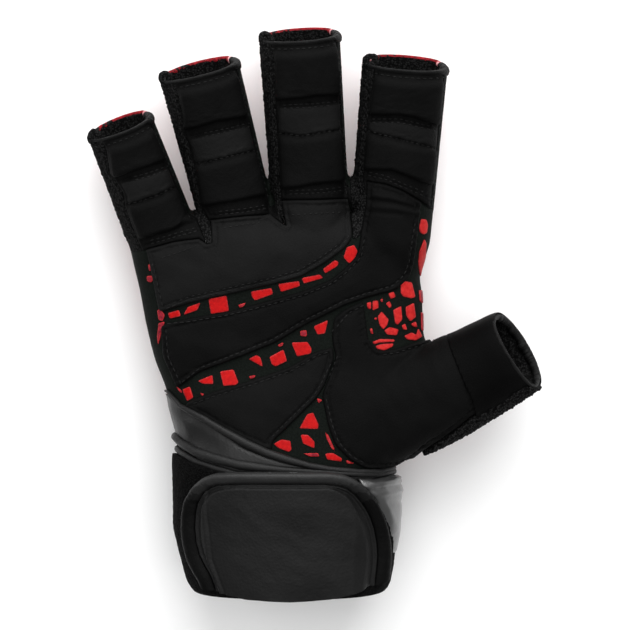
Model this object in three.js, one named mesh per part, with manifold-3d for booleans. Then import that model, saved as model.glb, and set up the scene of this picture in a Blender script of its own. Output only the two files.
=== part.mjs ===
// Weightlifting glove for the right hand, lying on its back with the palm up.
// Millimetres, +Z up, fingers towards +Y, thumb towards +X, origin under the middle of its box.

import * as THREE from 'three';
import { mergeVertices } from 'three/addons/utils/BufferGeometryUtils.js';
import Module from 'manifold-3d';

const wasm = await Module();
wasm.setup();

// Overall sizes
const GLOVE_LENGTH = 198; // wrist end to the middle finger's opening
const KNUCKLE_BREADTH = 104; // across the palm just below the fingers
const PALM_DEPTH = 35; // from the back of the hand to the palm
const WRIST_BREADTH = 69; // of the hand shell inside the wrist wrap
const WRIST_DEPTH = 38;

// Fingers and thumb
const FINGER_BREADTH = 27;
const FINGER_DEPTH = 23;
const FINGER_LIFT = 6; // how far each fingertip curls up
const THUMB_BREADTH = 28.5;
const THUMB_DEPTH = 23;
const PAD_RISE = 1.6; // crown of the padding over the leather's edge
const HEM_RADIUS = 1.3;

// Walls
const GAP = 0.3;
const CORD_GAP = 0.6; // beside a bound edge or piping, whose cord is laid in straight stretches
const SHELL_WALL = 1.5;
const LEATHER_WALL = 1.8;
const FACE_EDGE = 0.5; // how far a finger's leather stands over its side strips
const TERRY_WALL = 1.4;
const CUFF_WALL = 1.6;
const BINDING_RADIUS = 1.2;
const PIPING_RADIUS = 1.4;
const WRAP_WALL = 3;
const STRAP_WALL = 1.6;
const TAB_WALL = 2.2;
const TAB_CORNER = 12;
const TAB_BINDING_WIDTH = 3.6;
const TAB_BINDING_WALL = 1.2;
const SHELL_INSET = 2; // how far the hand shell stays inside the wrist end of the wrap

// Facets
const RING_SIDES = 28;
const TUBE_SIDES = 18;
const CORD_SIDES = 6;
const TAB_COLUMNS = 14;
const TAB_ROWS = 3;
const HAND_SQUARENESS = 2.5;
const FINGER_SQUARENESS = 2.25;
const FLATTENING = 0.12; // share of the lower half that the table presses flat

const WRAP_STACK = GAP + WRAP_WALL + GAP + STRAP_WALL;
const HAND = { breadth: KNUCKLE_BREADTH, depth: PALM_DEPTH };
const WRIST = { breadth: WRIST_BREADTH, depth: WRIST_DEPTH };

// Sections of the hand, from the wrist end to the knuckles. Along is a share of the glove's length,
// left, right, depth and dish are shares of the sizes in by, and low is a share of the wrap's stack.
const HAND_SECTIONS = [
  { along: -0.03, left: -0.45, right: 0.47, low: 1, depth: 0.97, dish: 0, by: WRIST },
  { along: 0.05, left: -0.48, right: 0.48, low: 1, depth: 0.99, dish: 0, by: WRIST },
  { along: 0.13, left: -0.51, right: 0.48, low: 1, depth: 1, dish: 0, by: WRIST },
  { along: 0.246, left: -0.51, right: 0.48, low: 1, depth: 1.02, dish: 0, by: WRIST },
  { along: 0.283, left: -0.354, right: 0.41, low: 0.85, depth: 1.1, dish: 0.01, by: HAND },
  { along: 0.32, left: -0.366, right: 0.455, low: 0.65, depth: 1.12, dish: 0.04, by: HAND },
  { along: 0.37, left: -0.395, right: 0.475, low: 0.35, depth: 1.13, dish: 0.07, by: HAND },
  { along: 0.42, left: -0.425, right: 0.47, low: 0, depth: 1.12, dish: 0.09, by: HAND },
  { along: 0.475, left: -0.452, right: 0.455, low: 0, depth: 1.08, dish: 0.09, by: HAND },
  { along: 0.525, left: -0.472, right: 0.452, low: 0, depth: 1.04, dish: 0.06, by: HAND },
  { along: 0.58, left: -0.495, right: 0.458, low: 0, depth: 0.99, dish: 0.03, by: HAND },
  { along: 0.63, left: -0.52, right: 0.47, low: 0.05, depth: 0.94, dish: 0, by: HAND },
  { along: 0.74, left: -0.53, right: 0.478, low: 0.3, depth: 0.86, dish: 0, by: HAND },
];

// Middle lines of the fingers. Across is a share of the knuckles' breadth, along of the glove's
// length, breadth and depth of the finger's own.
const FINGERS = [
  { name: 'little', rootAcross: -0.375, rootAlong: 0.592, tipAcross: -0.537, tipAlong: 0.828, breadth: 0.87, depth: 0.9 },
  { name: 'ring', rootAcross: -0.116, rootAlong: 0.6, tipAcross: -0.274, tipAlong: 0.928, breadth: 1, depth: 1 },
  { name: 'middle', rootAcross: 0.103, rootAlong: 0.6, tipAcross: 0.05, tipAlong: 0.985, breadth: 1, depth: 1 },
  { name: 'index', rootAcross: 0.355, rootAlong: 0.592, tipAcross: 0.399, tipAlong: 0.938, breadth: 1.05, depth: 1 },
];
const FINGER_ROOT_HEIGHT = 0.48; // of the palm's depth
const ROOT_DEPTH_SHARE = 1.2; // a finger's depth at its root against its tip
const TIP_BREADTH_SHARE = 1.03;

// Middle line of the thumb. Height is a share of the palm's depth.
const THUMB_SECTIONS = [
  { across: 0.28, along: 0.356, height: 0.68, breadth: 1.34, depth: 1.36 },
  { across: 0.514, along: 0.38, height: 0.71, breadth: 1.2, depth: 1.2 },
  { across: 0.645, along: 0.41, height: 0.78, breadth: 1.07, depth: 1.08 },
  { across: 0.765, along: 0.438, height: 0.88, breadth: 1, depth: 1 },
];

// Forks between the fingers, each with the seam line that runs up between its two fingers.
const FORKS = [
  [[-0.26, 0.623], [-0.31, 0.686], [-0.425, 0.873], [-0.48, 1.02]],
  [[-0.003, 0.656], [-0.053, 0.734], [-0.116, 0.943], [-0.13, 1.03]],
  [[0.226, 0.632], [0.216, 0.743], [0.219, 0.908], [0.22, 1.03]],
];
const OUTER_SEAMS = [
  [[-0.62, 0.608], [-0.9, 1.02]],
  [[0.6, 0.66], [0.9, 1.03]],
];
// The crease across each finger's base, from its left to its right.
const CREASES = {
  little: [[-0.45, 0.618], [-0.289, 0.63]],
  ring: [[-0.246, 0.661], [-0.043, 0.674]],
  middle: [[0.01, 0.698], [0.209, 0.7]],
  index: [[0.336, 0.724], [0.482, 0.69]],
};

// Pads on each finger's face, as shares of the face's length from its opening.
const PADS = [
  { from: 0.03, to: 0.37, rise: 1 },
  { from: 0.42, to: 0.57, rise: 0.6 },
  { from: 0.62, to: 0.9, rise: 0.9 },
];
const PAD_SHOULDER = 0.035;
const FACE_FROM = 24; // degrees round the finger, 90 being the palm side
const FACE_TO = 134;
const GUSSET_TO = 205;

// Outlines of the palm's leather, in shares of the knuckles' breadth and the glove's length.
const KNUCKLE_PANEL = [
  [-0.482, 0.656], [-0.449, 0.592], [-0.415, 0.505], [-0.316, 0.521], [-0.183, 0.536], [-0.05, 0.552],
  [0.05, 0.566], [0.133, 0.59], [0.199, 0.616], [0.216, 0.644], [0.216, 0.73], [-0.3, 0.73],
];
const SWEEP_PANEL = [
  [-0.409, 0.488], [-0.4, 0.422], [-0.355, 0.373], [-0.282, 0.401], [-0.15, 0.427], [-0.033, 0.451],
  [0.066, 0.483], [0.133, 0.5], [0.199, 0.517], [0.269, 0.53], [0.365, 0.543], [0.409, 0.564],
  [0.425, 0.592], [0.435, 0.63], [0.448, 0.69], [0.47, 0.76], [0.27, 0.76], [0.25, 0.63], [0.239, 0.604],
  [0.199, 0.582], [0.15, 0.561], [0.05, 0.54], [-0.083, 0.521], [-0.183, 0.507], [-0.316, 0.495],
];
const HEEL_PANEL = [
  [-0.322, 0.349], [-0.249, 0.365], [-0.116, 0.385], [0.017, 0.41], [0.1, 0.436], [0.159, 0.444],
  [0.163, 0.413], [0.133, 0.378], [0.106, 0.356], [0.05, 0.326], [0, 0.3], [-0.043, 0.25], [-0.4, 0.25],
];
const THUMB_PANEL = [
  [0.143, 0.474], [0.199, 0.503], [0.269, 0.516], [0.286, 0.457], [0.306, 0.436], [0.365, 0.4375],
  [0.415, 0.45], [0.455, 0.462], [0.548, 0.5], [0.581, 0.422], [0.615, 0.37], [0.665, 0.295],
  [0.55, 0.2], [0.256, 0.2], [0.256, 0.233], [0.216, 0.247], [0.166, 0.274], [0.143, 0.309],
  [0.123, 0.356], [0.159, 0.401], [0.183, 0.425], [0.173, 0.443], [0.123, 0.448],
];
const THUMB_SEAM = [[0.548, 0.5], [0.581, 0.422], [0.615, 0.37], [0.665, 0.295]];
const TERRY_LINE = [[0.42, 0.262], [0.488, 0.288], [0.598, 0.326], [0.708, 0.359], [0.86, 0.41]];

// The wrist's diagonal lines: the cuff's bound edge, and the upper piping of the wrap.
const CUFF_LINE = [
  [-1.2, 0.47], [-0.375, 0.352], [-0.249, 0.318], [-0.15, 0.293], [-0.05, 0.271], [0.05, 0.254],
  [0.15, 0.243], [0.249, 0.238], [0.382, 0.238], [1.2, 0.238],
];
const PIPING_LINE = [
  [-1.2, 0.42], [-0.375, 0.295], [-0.229, 0.259], [-0.116, 0.245], [0.017, 0.233], [0.15, 0.222],
  [0.249, 0.217], [0.382, 0.214], [1.2, 0.214],
];
const PIPING_PITCH = 2 * PIPING_RADIUS + 2 * GAP;

// The closing tab, in degrees round the wrist and shares of the glove's length.
const TAB_LEFT = 146;
const TAB_RIGHT = 15;
const TAB_TOP = 0.225;
const TAB_FOOT = 0.004;
const STRAP_FROM = 16; // of the ring's sides, from the loop fabric round the back to the tab
const STRAP_TO = 29;

const fabric = new THREE.MeshStandardMaterial({ color: 0x1c1a18, roughness: 0.8, metalness: 0 });
const suede = new THREE.MeshStandardMaterial({ color: 0x1a1a1b, roughness: 0.85, metalness: 0 });
const knit = new THREE.MeshStandardMaterial({ color: 0x1f1f20, roughness: 0.95, metalness: 0 });
const terry = new THREE.MeshStandardMaterial({ color: 0x161617, roughness: 1, metalness: 0 });
const binding = new THREE.MeshStandardMaterial({ color: 0x242426, roughness: 0.6, metalness: 0 });
const smoothLeather = new THREE.MeshStandardMaterial({ color: 0x303032, roughness: 0.45, metalness: 0 });
const loopFabric = new THREE.MeshStandardMaterial({ color: 0x18181a, roughness: 1, metalness: 0 });

// A closed solid from points and triangles, turned so that its faces point out.
function closedSolid(points, triangles) {
  const geometry = new THREE.BufferGeometry();
  geometry.setAttribute('position', new THREE.Float32BufferAttribute(points.flatMap((p) => p.toArray()), 3));
  const volume = triangles.reduce((sum, [a, b, c]) => {
    return sum + points[a].dot(new THREE.Vector3().crossVectors(points[b], points[c]));
  }, 0);
  geometry.setIndex(triangles.flatMap(([a, b, c]) => (volume > 0 ? [a, b, c] : [a, c, b])));
  return solidFrom(geometry);
}

function solidFrom(source) {
  const bare = source.clone();
  bare.deleteAttribute('normal');
  bare.deleteAttribute('uv');
  const merged = mergeVertices(bare, 1e-4);
  const vertProperties = new Float32Array(merged.attributes.position.array);
  const triVerts = new Uint32Array(merged.index.array);
  return new wasm.Manifold(new wasm.Mesh({ numProp: 3, vertProperties, triVerts }));
}

function geometryFrom(solid) {
  const mesh = solid.getMesh();
  const geometry = new THREE.BufferGeometry();
  geometry.setAttribute('position', new THREE.BufferAttribute(new Float32Array(mesh.vertProperties), 3));
  geometry.setIndex(new THREE.BufferAttribute(new Uint32Array(mesh.triVerts), 1));
  geometry.computeVertexNormals();
  return geometry;
}

// A skin through rings of points, closed by a fan at each end.
function loft(rings) {
  const count = rings[0].length;
  const points = rings.flat();
  const triangles = [];
  for (let row = 0; row + 1 < rings.length; row += 1) {
    for (let side = 0; side < count; side += 1) {
      const a = row * count + side;
      const b = row * count + (side + 1) % count;
      triangles.push([a, b, b + count], [a, b + count, a + count]);
    }
  }
  [0, rings.length - 1].forEach((row, end) => {
    const middle = rings[row].reduce((sum, p) => sum.add(p), new THREE.Vector3()).divideScalar(count);
    const hub = points.push(middle) - 1;
    for (let side = 0; side < count; side += 1) {
      const a = row * count + side;
      const b = row * count + (side + 1) % count;
      triangles.push(end === 0 ? [hub, b, a] : [hub, a, b]);
    }
  });
  return closedSolid(points, triangles);
}

// A closed ring swept round a loop of points, each given as its rim of points.
function loopSweep(rims) {
  const count = rims[0].length;
  const triangles = [];
  for (let row = 0; row < rims.length; row += 1) {
    const next = (row + 1) % rims.length;
    for (let side = 0; side < count; side += 1) {
      const other = (side + 1) % count;
      const [a, b, c, d] = [row * count + side, row * count + other, next * count + other, next * count + side];
      triangles.push([a, b, c], [a, c, d]);
    }
  }
  return closedSolid(rims.flat(), triangles);
}

// A curved plate: pointAt(u, v, offset) over the grid us by vs, between two offsets.
function plate(pointAt, us, vs, low, high) {
  const rings = us.map((u) => {
    const upper = vs.map((v) => pointAt(u, v, high(u, v)));
    const lower = vs.map((v) => pointAt(u, v, low));
    return { upper, lower };
  });
  const points = rings.flatMap((ring) => [...ring.upper, ...ring.lower]);
  const rows = vs.length;
  const at = (column, row, side) => column * 2 * rows + side * rows + row;
  const triangles = [];
  const quad = (a, b, c, d) => triangles.push([a, b, c], [a, c, d]);
  for (let i = 0; i + 1 < us.length; i += 1) {
    for (let j = 0; j + 1 < rows; j += 1) {
      quad(at(i, j, 0), at(i + 1, j, 0), at(i + 1, j + 1, 0), at(i, j + 1, 0));
      quad(at(i, j, 1), at(i, j + 1, 1), at(i + 1, j + 1, 1), at(i + 1, j, 1));
    }
    quad(at(i, 0, 0), at(i, 0, 1), at(i + 1, 0, 1), at(i + 1, 0, 0));
    quad(at(i, rows - 1, 0), at(i + 1, rows - 1, 0), at(i + 1, rows - 1, 1), at(i, rows - 1, 1));
  }
  for (let j = 0; j + 1 < rows; j += 1) {
    const last = us.length - 1;
    quad(at(0, j, 0), at(0, j + 1, 0), at(0, j + 1, 1), at(0, j, 1));
    quad(at(last, j, 0), at(last, j, 1), at(last, j + 1, 1), at(last, j + 1, 0));
  }
  return closedSolid(points, triangles);
}

function spread(from, to, steps) {
  return Array.from({ length: steps + 1 }, (_, i) => from + (to - from) * i / steps);
}

function mix(a, b, t) {
  return a + (b - a) * t;
}

function inMillimetres(outline) {
  return outline.map(([across, along]) => new THREE.Vector2(across * KNUCKLE_BREADTH, along * GLOVE_LENGTH));
}

// Moves each side of an outline out by a distance, or in where it is negative.
function grown(outline, distance) {
  const turn = THREE.ShapeUtils.area(outline) > 0 ? 1 : -1;
  return outline.map((corner, i) => {
    const before = outline[(i + outline.length - 1) % outline.length];
    const after = outline[(i + 1) % outline.length];
    const inward = corner.clone().sub(before).normalize();
    const onward = after.clone().sub(corner).normalize();
    const first = new THREE.Vector2(inward.y, -inward.x).multiplyScalar(turn);
    const second = new THREE.Vector2(onward.y, -onward.x).multiplyScalar(turn);
    const miter = first.clone().add(second).normalize();
    return corner.clone().addScaledVector(miter, distance / Math.max(miter.dot(first), 0.3));
  });
}

const TALL = 3 * PALM_DEPTH;

// An upright block over an outline, from a height up.
function block(outline, from = -TALL) {
  const shape = new THREE.Shape(outline);
  const geometry = new THREE.ExtrudeGeometry(shape, { depth: TALL - from, bevelEnabled: false });
  geometry.translate(0, 0, from);
  return solidFrom(geometry);
}

function superPoint(angle, halfBreadth, halfDepth, squareness) {
  const c = Math.cos(angle);
  const s = Math.sin(angle);
  const power = 2 / squareness;
  return [Math.sign(c) * Math.abs(c) ** power * halfBreadth, Math.sign(s) * Math.abs(s) ** power * halfDepth];
}

// The hand's section in millimetres at a share of the glove's length.
function handSection(along) {
  const last = HAND_SECTIONS.length - 2;
  const found = HAND_SECTIONS.findIndex((row, i) => i <= last && along <= HAND_SECTIONS[i + 1].along);
  const index = found < 0 ? last : found;
  const [a, b] = [HAND_SECTIONS[index], HAND_SECTIONS[index + 1]];
  const t = (along - a.along) / (b.along - a.along);
  const low = mix(a.low, b.low, t) * WRAP_STACK;
  return {
    left: mix(a.left * a.by.breadth, b.left * b.by.breadth, t),
    right: mix(a.right * a.by.breadth, b.right * b.by.breadth, t),
    low,
    high: low + mix(a.depth * a.by.depth, b.depth * b.by.depth, t),
    dish: mix(a.dish * a.by.depth, b.dish * b.by.depth, t),
  };
}

// A point on the hand, at an angle round it and a distance outside its fabric shell.
function handPoint(angle, along, offset) {
  const section = handSection(along);
  const halfBreadth = (section.right - section.left) / 2 + offset;
  const halfDepth = (section.high - section.low) / 2 + offset;
  const [x, rise] = superPoint(angle, halfBreadth, halfDepth, HAND_SQUARENESS);
  const hollow = rise > 0 ? section.dish * (1 - (x / halfBreadth) ** 2) ** 2 : 0;
  const z = (section.low + section.high) / 2 + rise * (rise < 0 ? 1 + FLATTENING : 1) - hollow;
  return new THREE.Vector3((section.left + section.right) / 2 + x, along * GLOVE_LENGTH,
    Math.max(z, section.low - offset));
}

const RING_ANGLES = spread(0, 2 * Math.PI, RING_SIDES).slice(0, -1);

function handLoft(offset, reach = 0) {
  const rings = HAND_SECTIONS.map((row, i) => {
    const outermost = i === 0 || i === HAND_SECTIONS.length - 1;
    const push = outermost ? Math.sign(i - 1) * reach : 0;
    return RING_ANGLES.map((angle) => handPoint(angle, row.along, offset).add(new THREE.Vector3(0, push, 0)));
  });
  return loft(rings);
}

// A finger or thumb: its middle line and half sizes, and points on its skin.
function makeDigit(centres, halves) {
  const curve = new THREE.CatmullRomCurve3(centres, false, 'centripetal');
  return { curve, halves, length: curve.getLength() };
}

function digitPoint(digit, angle, v, offset) {
  const along = Math.min(Math.max(v, 0), 1);
  const centre = digit.curve.getPoint(along);
  const forward = digit.curve.getTangent(along);
  centre.addScaledVector(forward, (v - along) * digit.length);
  const sideways = new THREE.Vector3(forward.y, -forward.x, 0).normalize();
  const upward = new THREE.Vector3().crossVectors(sideways, forward);
  const place = along * (digit.halves.length - 1);
  const row = Math.min(Math.floor(place), digit.halves.length - 2);
  const [a, b] = [digit.halves[row], digit.halves[row + 1]];
  const halfBreadth = mix(a.breadth, b.breadth, place - row) + offset;
  const halfDepth = mix(a.depth, b.depth, place - row) + offset;
  const [x, z] = superPoint(angle, halfBreadth, halfDepth, FINGER_SQUARENESS);
  return centre.addScaledVector(sideways, x).addScaledVector(upward, z);
}

function digitLoft(digit, vs, offset) {
  const angles = spread(0, 2 * Math.PI, TUBE_SIDES).slice(0, -1);
  return loft(vs.map((v) => angles.map((angle) => digitPoint(digit, angle, v, offset))));
}

function fingerDigit(finger) {
  const root = new THREE.Vector3(finger.rootAcross * KNUCKLE_BREADTH, finger.rootAlong * GLOVE_LENGTH,
    FINGER_ROOT_HEIGHT * PALM_DEPTH);
  const tip = new THREE.Vector3(finger.tipAcross * KNUCKLE_BREADTH, finger.tipAlong * GLOVE_LENGTH, root.z);
  const shares = spread(0, 1, 4);
  const centres = shares.map((t) => root.clone().lerp(tip, t).add(new THREE.Vector3(0, 0, FINGER_LIFT * t * t)));
  const halves = shares.map((t) => ({
    breadth: FINGER_BREADTH * finger.breadth / 2 * mix(1, TIP_BREADTH_SHARE, t),
    depth: FINGER_DEPTH * finger.depth / 2 * mix(ROOT_DEPTH_SHARE, 1, t),
  }));
  return makeDigit(centres, halves);
}

function thumbDigit() {
  const centres = THUMB_SECTIONS.map((row) => new THREE.Vector3(row.across * KNUCKLE_BREADTH,
    row.along * GLOVE_LENGTH, row.height * PALM_DEPTH));
  const halves = THUMB_SECTIONS.map((row) => ({
    breadth: THUMB_BREADTH * row.breadth / 2,
    depth: THUMB_DEPTH * row.depth / 2,
  }));
  return makeDigit(centres, halves);
}

// A round cord laid in a closed loop: each point with the direction away from the surface.
function cordLoop(stations, radius) {
  const rims = stations.map((station, i) => {
    const before = stations[(i + stations.length - 1) % stations.length].point;
    const after = stations[(i + 1) % stations.length].point;
    const tangent = after.clone().sub(before).normalize();
    const outward = station.outward.clone().addScaledVector(tangent, -station.outward.dot(tangent)).normalize();
    const across = new THREE.Vector3().crossVectors(tangent, outward);
    return spread(0, 2 * Math.PI, CORD_SIDES).slice(0, -1).map((turn) => station.point.clone()
      .addScaledVector(outward, radius * Math.cos(turn))
      .addScaledVector(across, radius * Math.sin(turn)));
  });
  return loopSweep(rims);
}

// The height of a diagonal wrist line at a distance across.
function lineAt(line, x) {
  const rows = inMillimetres(line);
  const found = rows.findIndex((row, i) => i > 0 && x <= row.x);
  const index = found < 0 ? rows.length - 1 : found;
  const [a, b] = [rows[index - 1], rows[index]];
  return mix(a.y, b.y, (x - a.x) / (b.x - a.x));
}

// Everything on the fingers' side of a wrist line, moved a distance towards the fingers.
function beyondLine(line, shift) {
  const rows = inMillimetres([...line, [line.at(-1)[0], 2], [line[0][0], 2]]);
  return block(grown(rows, -shift));
}

function wristCord(line, shift, radius) {
  const stations = RING_ANGLES.map((angle) => {
    let y = lineAt(line, 0) + shift;
    for (let round = 0; round < 4; round += 1) {
      y = lineAt(line, handPoint(angle, y / GLOVE_LENGTH, 0).x) + shift;
    }
    const point = handPoint(angle, y / GLOVE_LENGTH, GAP + radius);
    const outward = point.clone().sub(handPoint(angle, y / GLOVE_LENGTH, 0));
    return { point: point.setY(y), outward };
  });
  return cordLoop(stations, radius);
}

const fingers = FINGERS.map((finger) => ({ ...finger, digit: fingerDigit(finger) }));
const thumb = thumbDigit();
const THUMB_ROWS = spread(0, 1, THUMB_SECTIONS.length - 1).slice(0, -1);
const hemShare = (digit) => (2 * HEM_RADIUS + GAP) / digit.length;

// The upright block that each finger's pieces keep to, from its crease to past its opening.
function fingerRegion(index, distance) {
  const left = index === 0 ? OUTER_SEAMS[0] : FORKS[index - 1];
  const right = index === FINGERS.length - 1 ? OUTER_SEAMS[1] : FORKS[index];
  const crease = CREASES[FINGERS[index].name];
  const outline = inMillimetres([...left, ...[...right].reverse(), ...[...crease].reverse()]);
  return block(grown(outline, distance));
}

const THUMB_REGION = [...THUMB_SEAM, [1.2, 0.2], [1.2, 0.6]];

// The whole outer form of the hand and thumb, a distance outside its fabric shell.
function handForm(offset, reach = 0) {
  const vs = [...THUMB_ROWS, 1 + reach / thumb.length];
  return handLoft(offset, reach).add(digitLoft(thumb, vs, offset));
}

const fingerBlocks = fingers.map((_, i) => fingerRegion(i, GAP / 2));
const allFingers = fingerBlocks.reduce((sum, one) => sum.add(one));
const thumbBlock = block(grown(inMillimetres(THUMB_REGION), GAP / 2));
const thumbBlockInside = block(grown(inMillimetres(THUMB_REGION), -GAP / 2));
const REACH = 20;

function handShell() {
  const outer = handForm(0);
  const inner = handForm(-SHELL_WALL, REACH);
  const end = block(inMillimetres([[-1, -1], [1, -1], [1, 0], [-1, 0]])).translate([0, SHELL_INSET, 0]);
  return outer.subtract(inner).subtract(allFingers).subtract(thumbBlock).subtract(end);
}

function thumbSleeve() {
  const end = 1 - hemShare(thumb);
  const outer = digitLoft(thumb, [...THUMB_ROWS.slice(1), end], 0);
  const inner = digitLoft(thumb, [...THUMB_ROWS, end + REACH / thumb.length], -SHELL_WALL);
  return outer.subtract(inner).intersect(thumbBlockInside);
}

function digitHem(digit) {
  const v = 1 - HEM_RADIUS / digit.length;
  const stations = spread(0, 2 * Math.PI, TUBE_SIDES).slice(0, -1).map((angle) => {
    const point = digitPoint(digit, angle, v, -SHELL_WALL / 2);
    return { point, outward: digitPoint(digit, angle, v, 1).sub(point) };
  });
  return cordLoop(stations, HEM_RADIUS);
}

// One strip of a finger's tube, between two angles.
function fingerStrip(digit, region, from, to, columns, vs, high) {
  const slit = GAP / FINGER_BREADTH;
  const angles = spread(THREE.MathUtils.degToRad(from) + slit, THREE.MathUtils.degToRad(to) - slit, columns);
  const pointAt = (angle, v, offset) => digitPoint(digit, angle, v, offset);
  return plate(pointAt, angles, vs, -SHELL_WALL, high).intersect(region);
}

// How far the padding stands up, at a share of the face's length from the opening.
function padRise(share) {
  const pad = PADS.find((row) => share > row.from && share < row.to);
  if (!pad) {
    return 0;
  }
  const edge = Math.min(share - pad.from, pad.to - share) / PAD_SHOULDER;
  return pad.rise * Math.min(edge, 1);
}

function fingerFace(finger, region) {
  const { digit } = finger;
  const end = 1 - hemShare(digit);
  const creaseAlong = CREASES[finger.name][0][1];
  const start = (creaseAlong - finger.rootAlong) / (finger.tipAlong - finger.rootAlong);
  const toV = (share) => mix(end, start, share);
  const stops = PADS.flatMap((pad) => [pad.from, pad.from + PAD_SHOULDER, pad.to - PAD_SHOULDER, pad.to]);
  const vs = [0, ...stops.map(toV).reverse(), end];
  const rise = (angle, v) => {
    const round = (THREE.MathUtils.radToDeg(angle) - FACE_FROM) / (FACE_TO - FACE_FROM);
    const crown = Math.sqrt(Math.max(Math.sin(Math.PI * round), 0));
    return FACE_EDGE + PAD_RISE * padRise((end - v) / (end - start)) * crown;
  };
  return fingerStrip(digit, region, FACE_FROM, FACE_TO, 6, vs, rise);
}

function fingerSide(finger, region, from, to, columns) {
  const vs = spread(0, 1 - hemShare(finger.digit), 4);
  return fingerStrip(finger.digit, region, from, to, columns, vs, () => 0);
}

// One leather piece of the palm, laid over the shell inside an outline.
const leatherLayer = handForm(GAP + LEATHER_WALL).subtract(handForm(GAP));
const leatherField = beyondLine(CUFF_LINE, BINDING_RADIUS + CORD_GAP).subtract(allFingers).subtract(thumbBlock);

function palmPanel(outline) {
  return leatherLayer.intersect(block(inMillimetres(outline), FINGER_ROOT_HEIGHT * PALM_DEPTH))
    .intersect(leatherField);
}

// Everything on the wrist's side of the thumb's seam with the terry strip.
function terryBlock(distance) {
  const line = inMillimetres(TERRY_LINE).map((row) => new THREE.Vector2(row.x, row.y + distance));
  const corners = inMillimetres([[1.2, 0.4], [1.2, 0], [0.42, 0]]);
  return block([...line, ...corners]);
}

function thumbTerry() {
  const hem = digitLoft(thumb, [1 - hemShare(thumb), 1.2], 2 * HEM_RADIUS);
  return handForm(GAP + TERRY_WALL).subtract(handForm(GAP)).intersect(terryBlock(-GAP / 2))
    .intersect(beyondLine(CUFF_LINE, BINDING_RADIUS + CORD_GAP)).subtract(hem);
}

// A band of the wrist, between two offsets from the shell and two wrist lines.
function wristBand(low, high, upper, lower) {
  const layer = handLoft(high).subtract(handLoft(low));
  const end = block(inMillimetres([[-1, 0], [1, 0], [1, 2], [-1, 2]]));
  const trimmed = layer.intersect(end).subtract(upper);
  return lower ? trimmed.intersect(lower) : trimmed;
}

function cuffLeather() {
  return wristBand(GAP, GAP + CUFF_WALL, beyondLine(CUFF_LINE, -BINDING_RADIUS - CORD_GAP),
    beyondLine(PIPING_LINE, PIPING_RADIUS + CORD_GAP));
}

function wristWrap() {
  return wristBand(GAP, GAP + WRAP_WALL, beyondLine(PIPING_LINE, -PIPING_PITCH - PIPING_RADIUS - CORD_GAP));
}

const TAB_LOW = GAP + WRAP_WALL + GAP;

// The tab's upper and lower edge at an angle round the wrist, with rounded corners.
function tabEdge(angle) {
  const section = handSection(TAB_TOP / 2);
  const radius = (section.right - section.left) / 2 + TAB_LOW;
  const left = THREE.MathUtils.degToRad(TAB_LEFT);
  const right = THREE.MathUtils.degToRad(TAB_RIGHT);
  const nearest = Math.max(Math.min(left - angle, angle - right), 0) * radius;
  const inCorner = Math.max(1 - nearest / TAB_CORNER, 0);
  const fall = TAB_CORNER * (1 - Math.sqrt(1 - inCorner ** 2));
  return { top: TAB_TOP - fall / GLOVE_LENGTH, foot: TAB_FOOT + fall / 3 / GLOVE_LENGTH };
}

function tabPlate(angles, low, high, from, to) {
  const pointAt = (angle, share, offset) => {
    const edge = tabEdge(angle);
    return handPoint(angle, mix(edge.foot, edge.top, share), offset);
  };
  return plate(pointAt, angles, spread(from, to, TAB_ROWS), low, () => high);
}

function tabAngles(distance) {
  const section = handSection(TAB_TOP / 2);
  const inset = distance / ((section.right - section.left) / 2);
  const from = THREE.MathUtils.degToRad(TAB_RIGHT) + inset;
  const to = THREE.MathUtils.degToRad(TAB_LEFT) - inset;
  return spread(0, 1, TAB_COLUMNS).map((t) => mix(from, to, (1 - Math.cos(Math.PI * t)) / 2));
}

function tabPanel() {
  return tabPlate(tabAngles(0), TAB_LOW, TAB_LOW + TAB_WALL, 0, 1);
}

// The tab's bound edge lies on it, down both sides and along the top.
function tabBinding() {
  const low = TAB_LOW + TAB_WALL + GAP;
  const whole = tabPlate(tabAngles(0), low, low + TAB_BINDING_WALL, 0.03, 1);
  const share = 1 - TAB_BINDING_WIDTH / (GLOVE_LENGTH * (TAB_TOP - TAB_FOOT));
  const field = tabPlate(tabAngles(TAB_BINDING_WIDTH), low - GAP, low + TAB_BINDING_WALL + GAP, -0.1, share);
  return whole.subtract(field);
}

// The strap's smooth leather, round the thumb's side and the back of the wrist.
function strapLeather() {
  const angles = spread(STRAP_FROM, STRAP_TO, STRAP_TO - STRAP_FROM).map((side) => side * 2 * Math.PI / RING_SIDES);
  const stops = HAND_SECTIONS.map((row) => row.along).filter((along) => along > TAB_FOOT && along < TAB_TOP / 1.5);
  const top = (angle) => {
    const x = handPoint(angle, TAB_TOP, TAB_LOW).x;
    return (lineAt(PIPING_LINE, x) - PIPING_PITCH - PIPING_RADIUS - GAP) / GLOVE_LENGTH;
  };
  const pointAt = (angle, along, offset) => handPoint(angle, Math.min(along, top(angle)), offset);
  return plate(pointAt, angles, [TAB_FOOT, ...stops, 1], TAB_LOW, () => TAB_LOW + STRAP_WALL);
}

const glove = new THREE.Group();

// A cut can leave a sliver beside the piece: the piece is the largest body.
function addPiece(name, solid, material) {
  const bodies = solid.decompose().sort((a, b) => b.volume() - a.volume());
  const mesh = new THREE.Mesh(geometryFrom(bodies[0]), material);
  mesh.name = name;
  glove.add(mesh);
}

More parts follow.
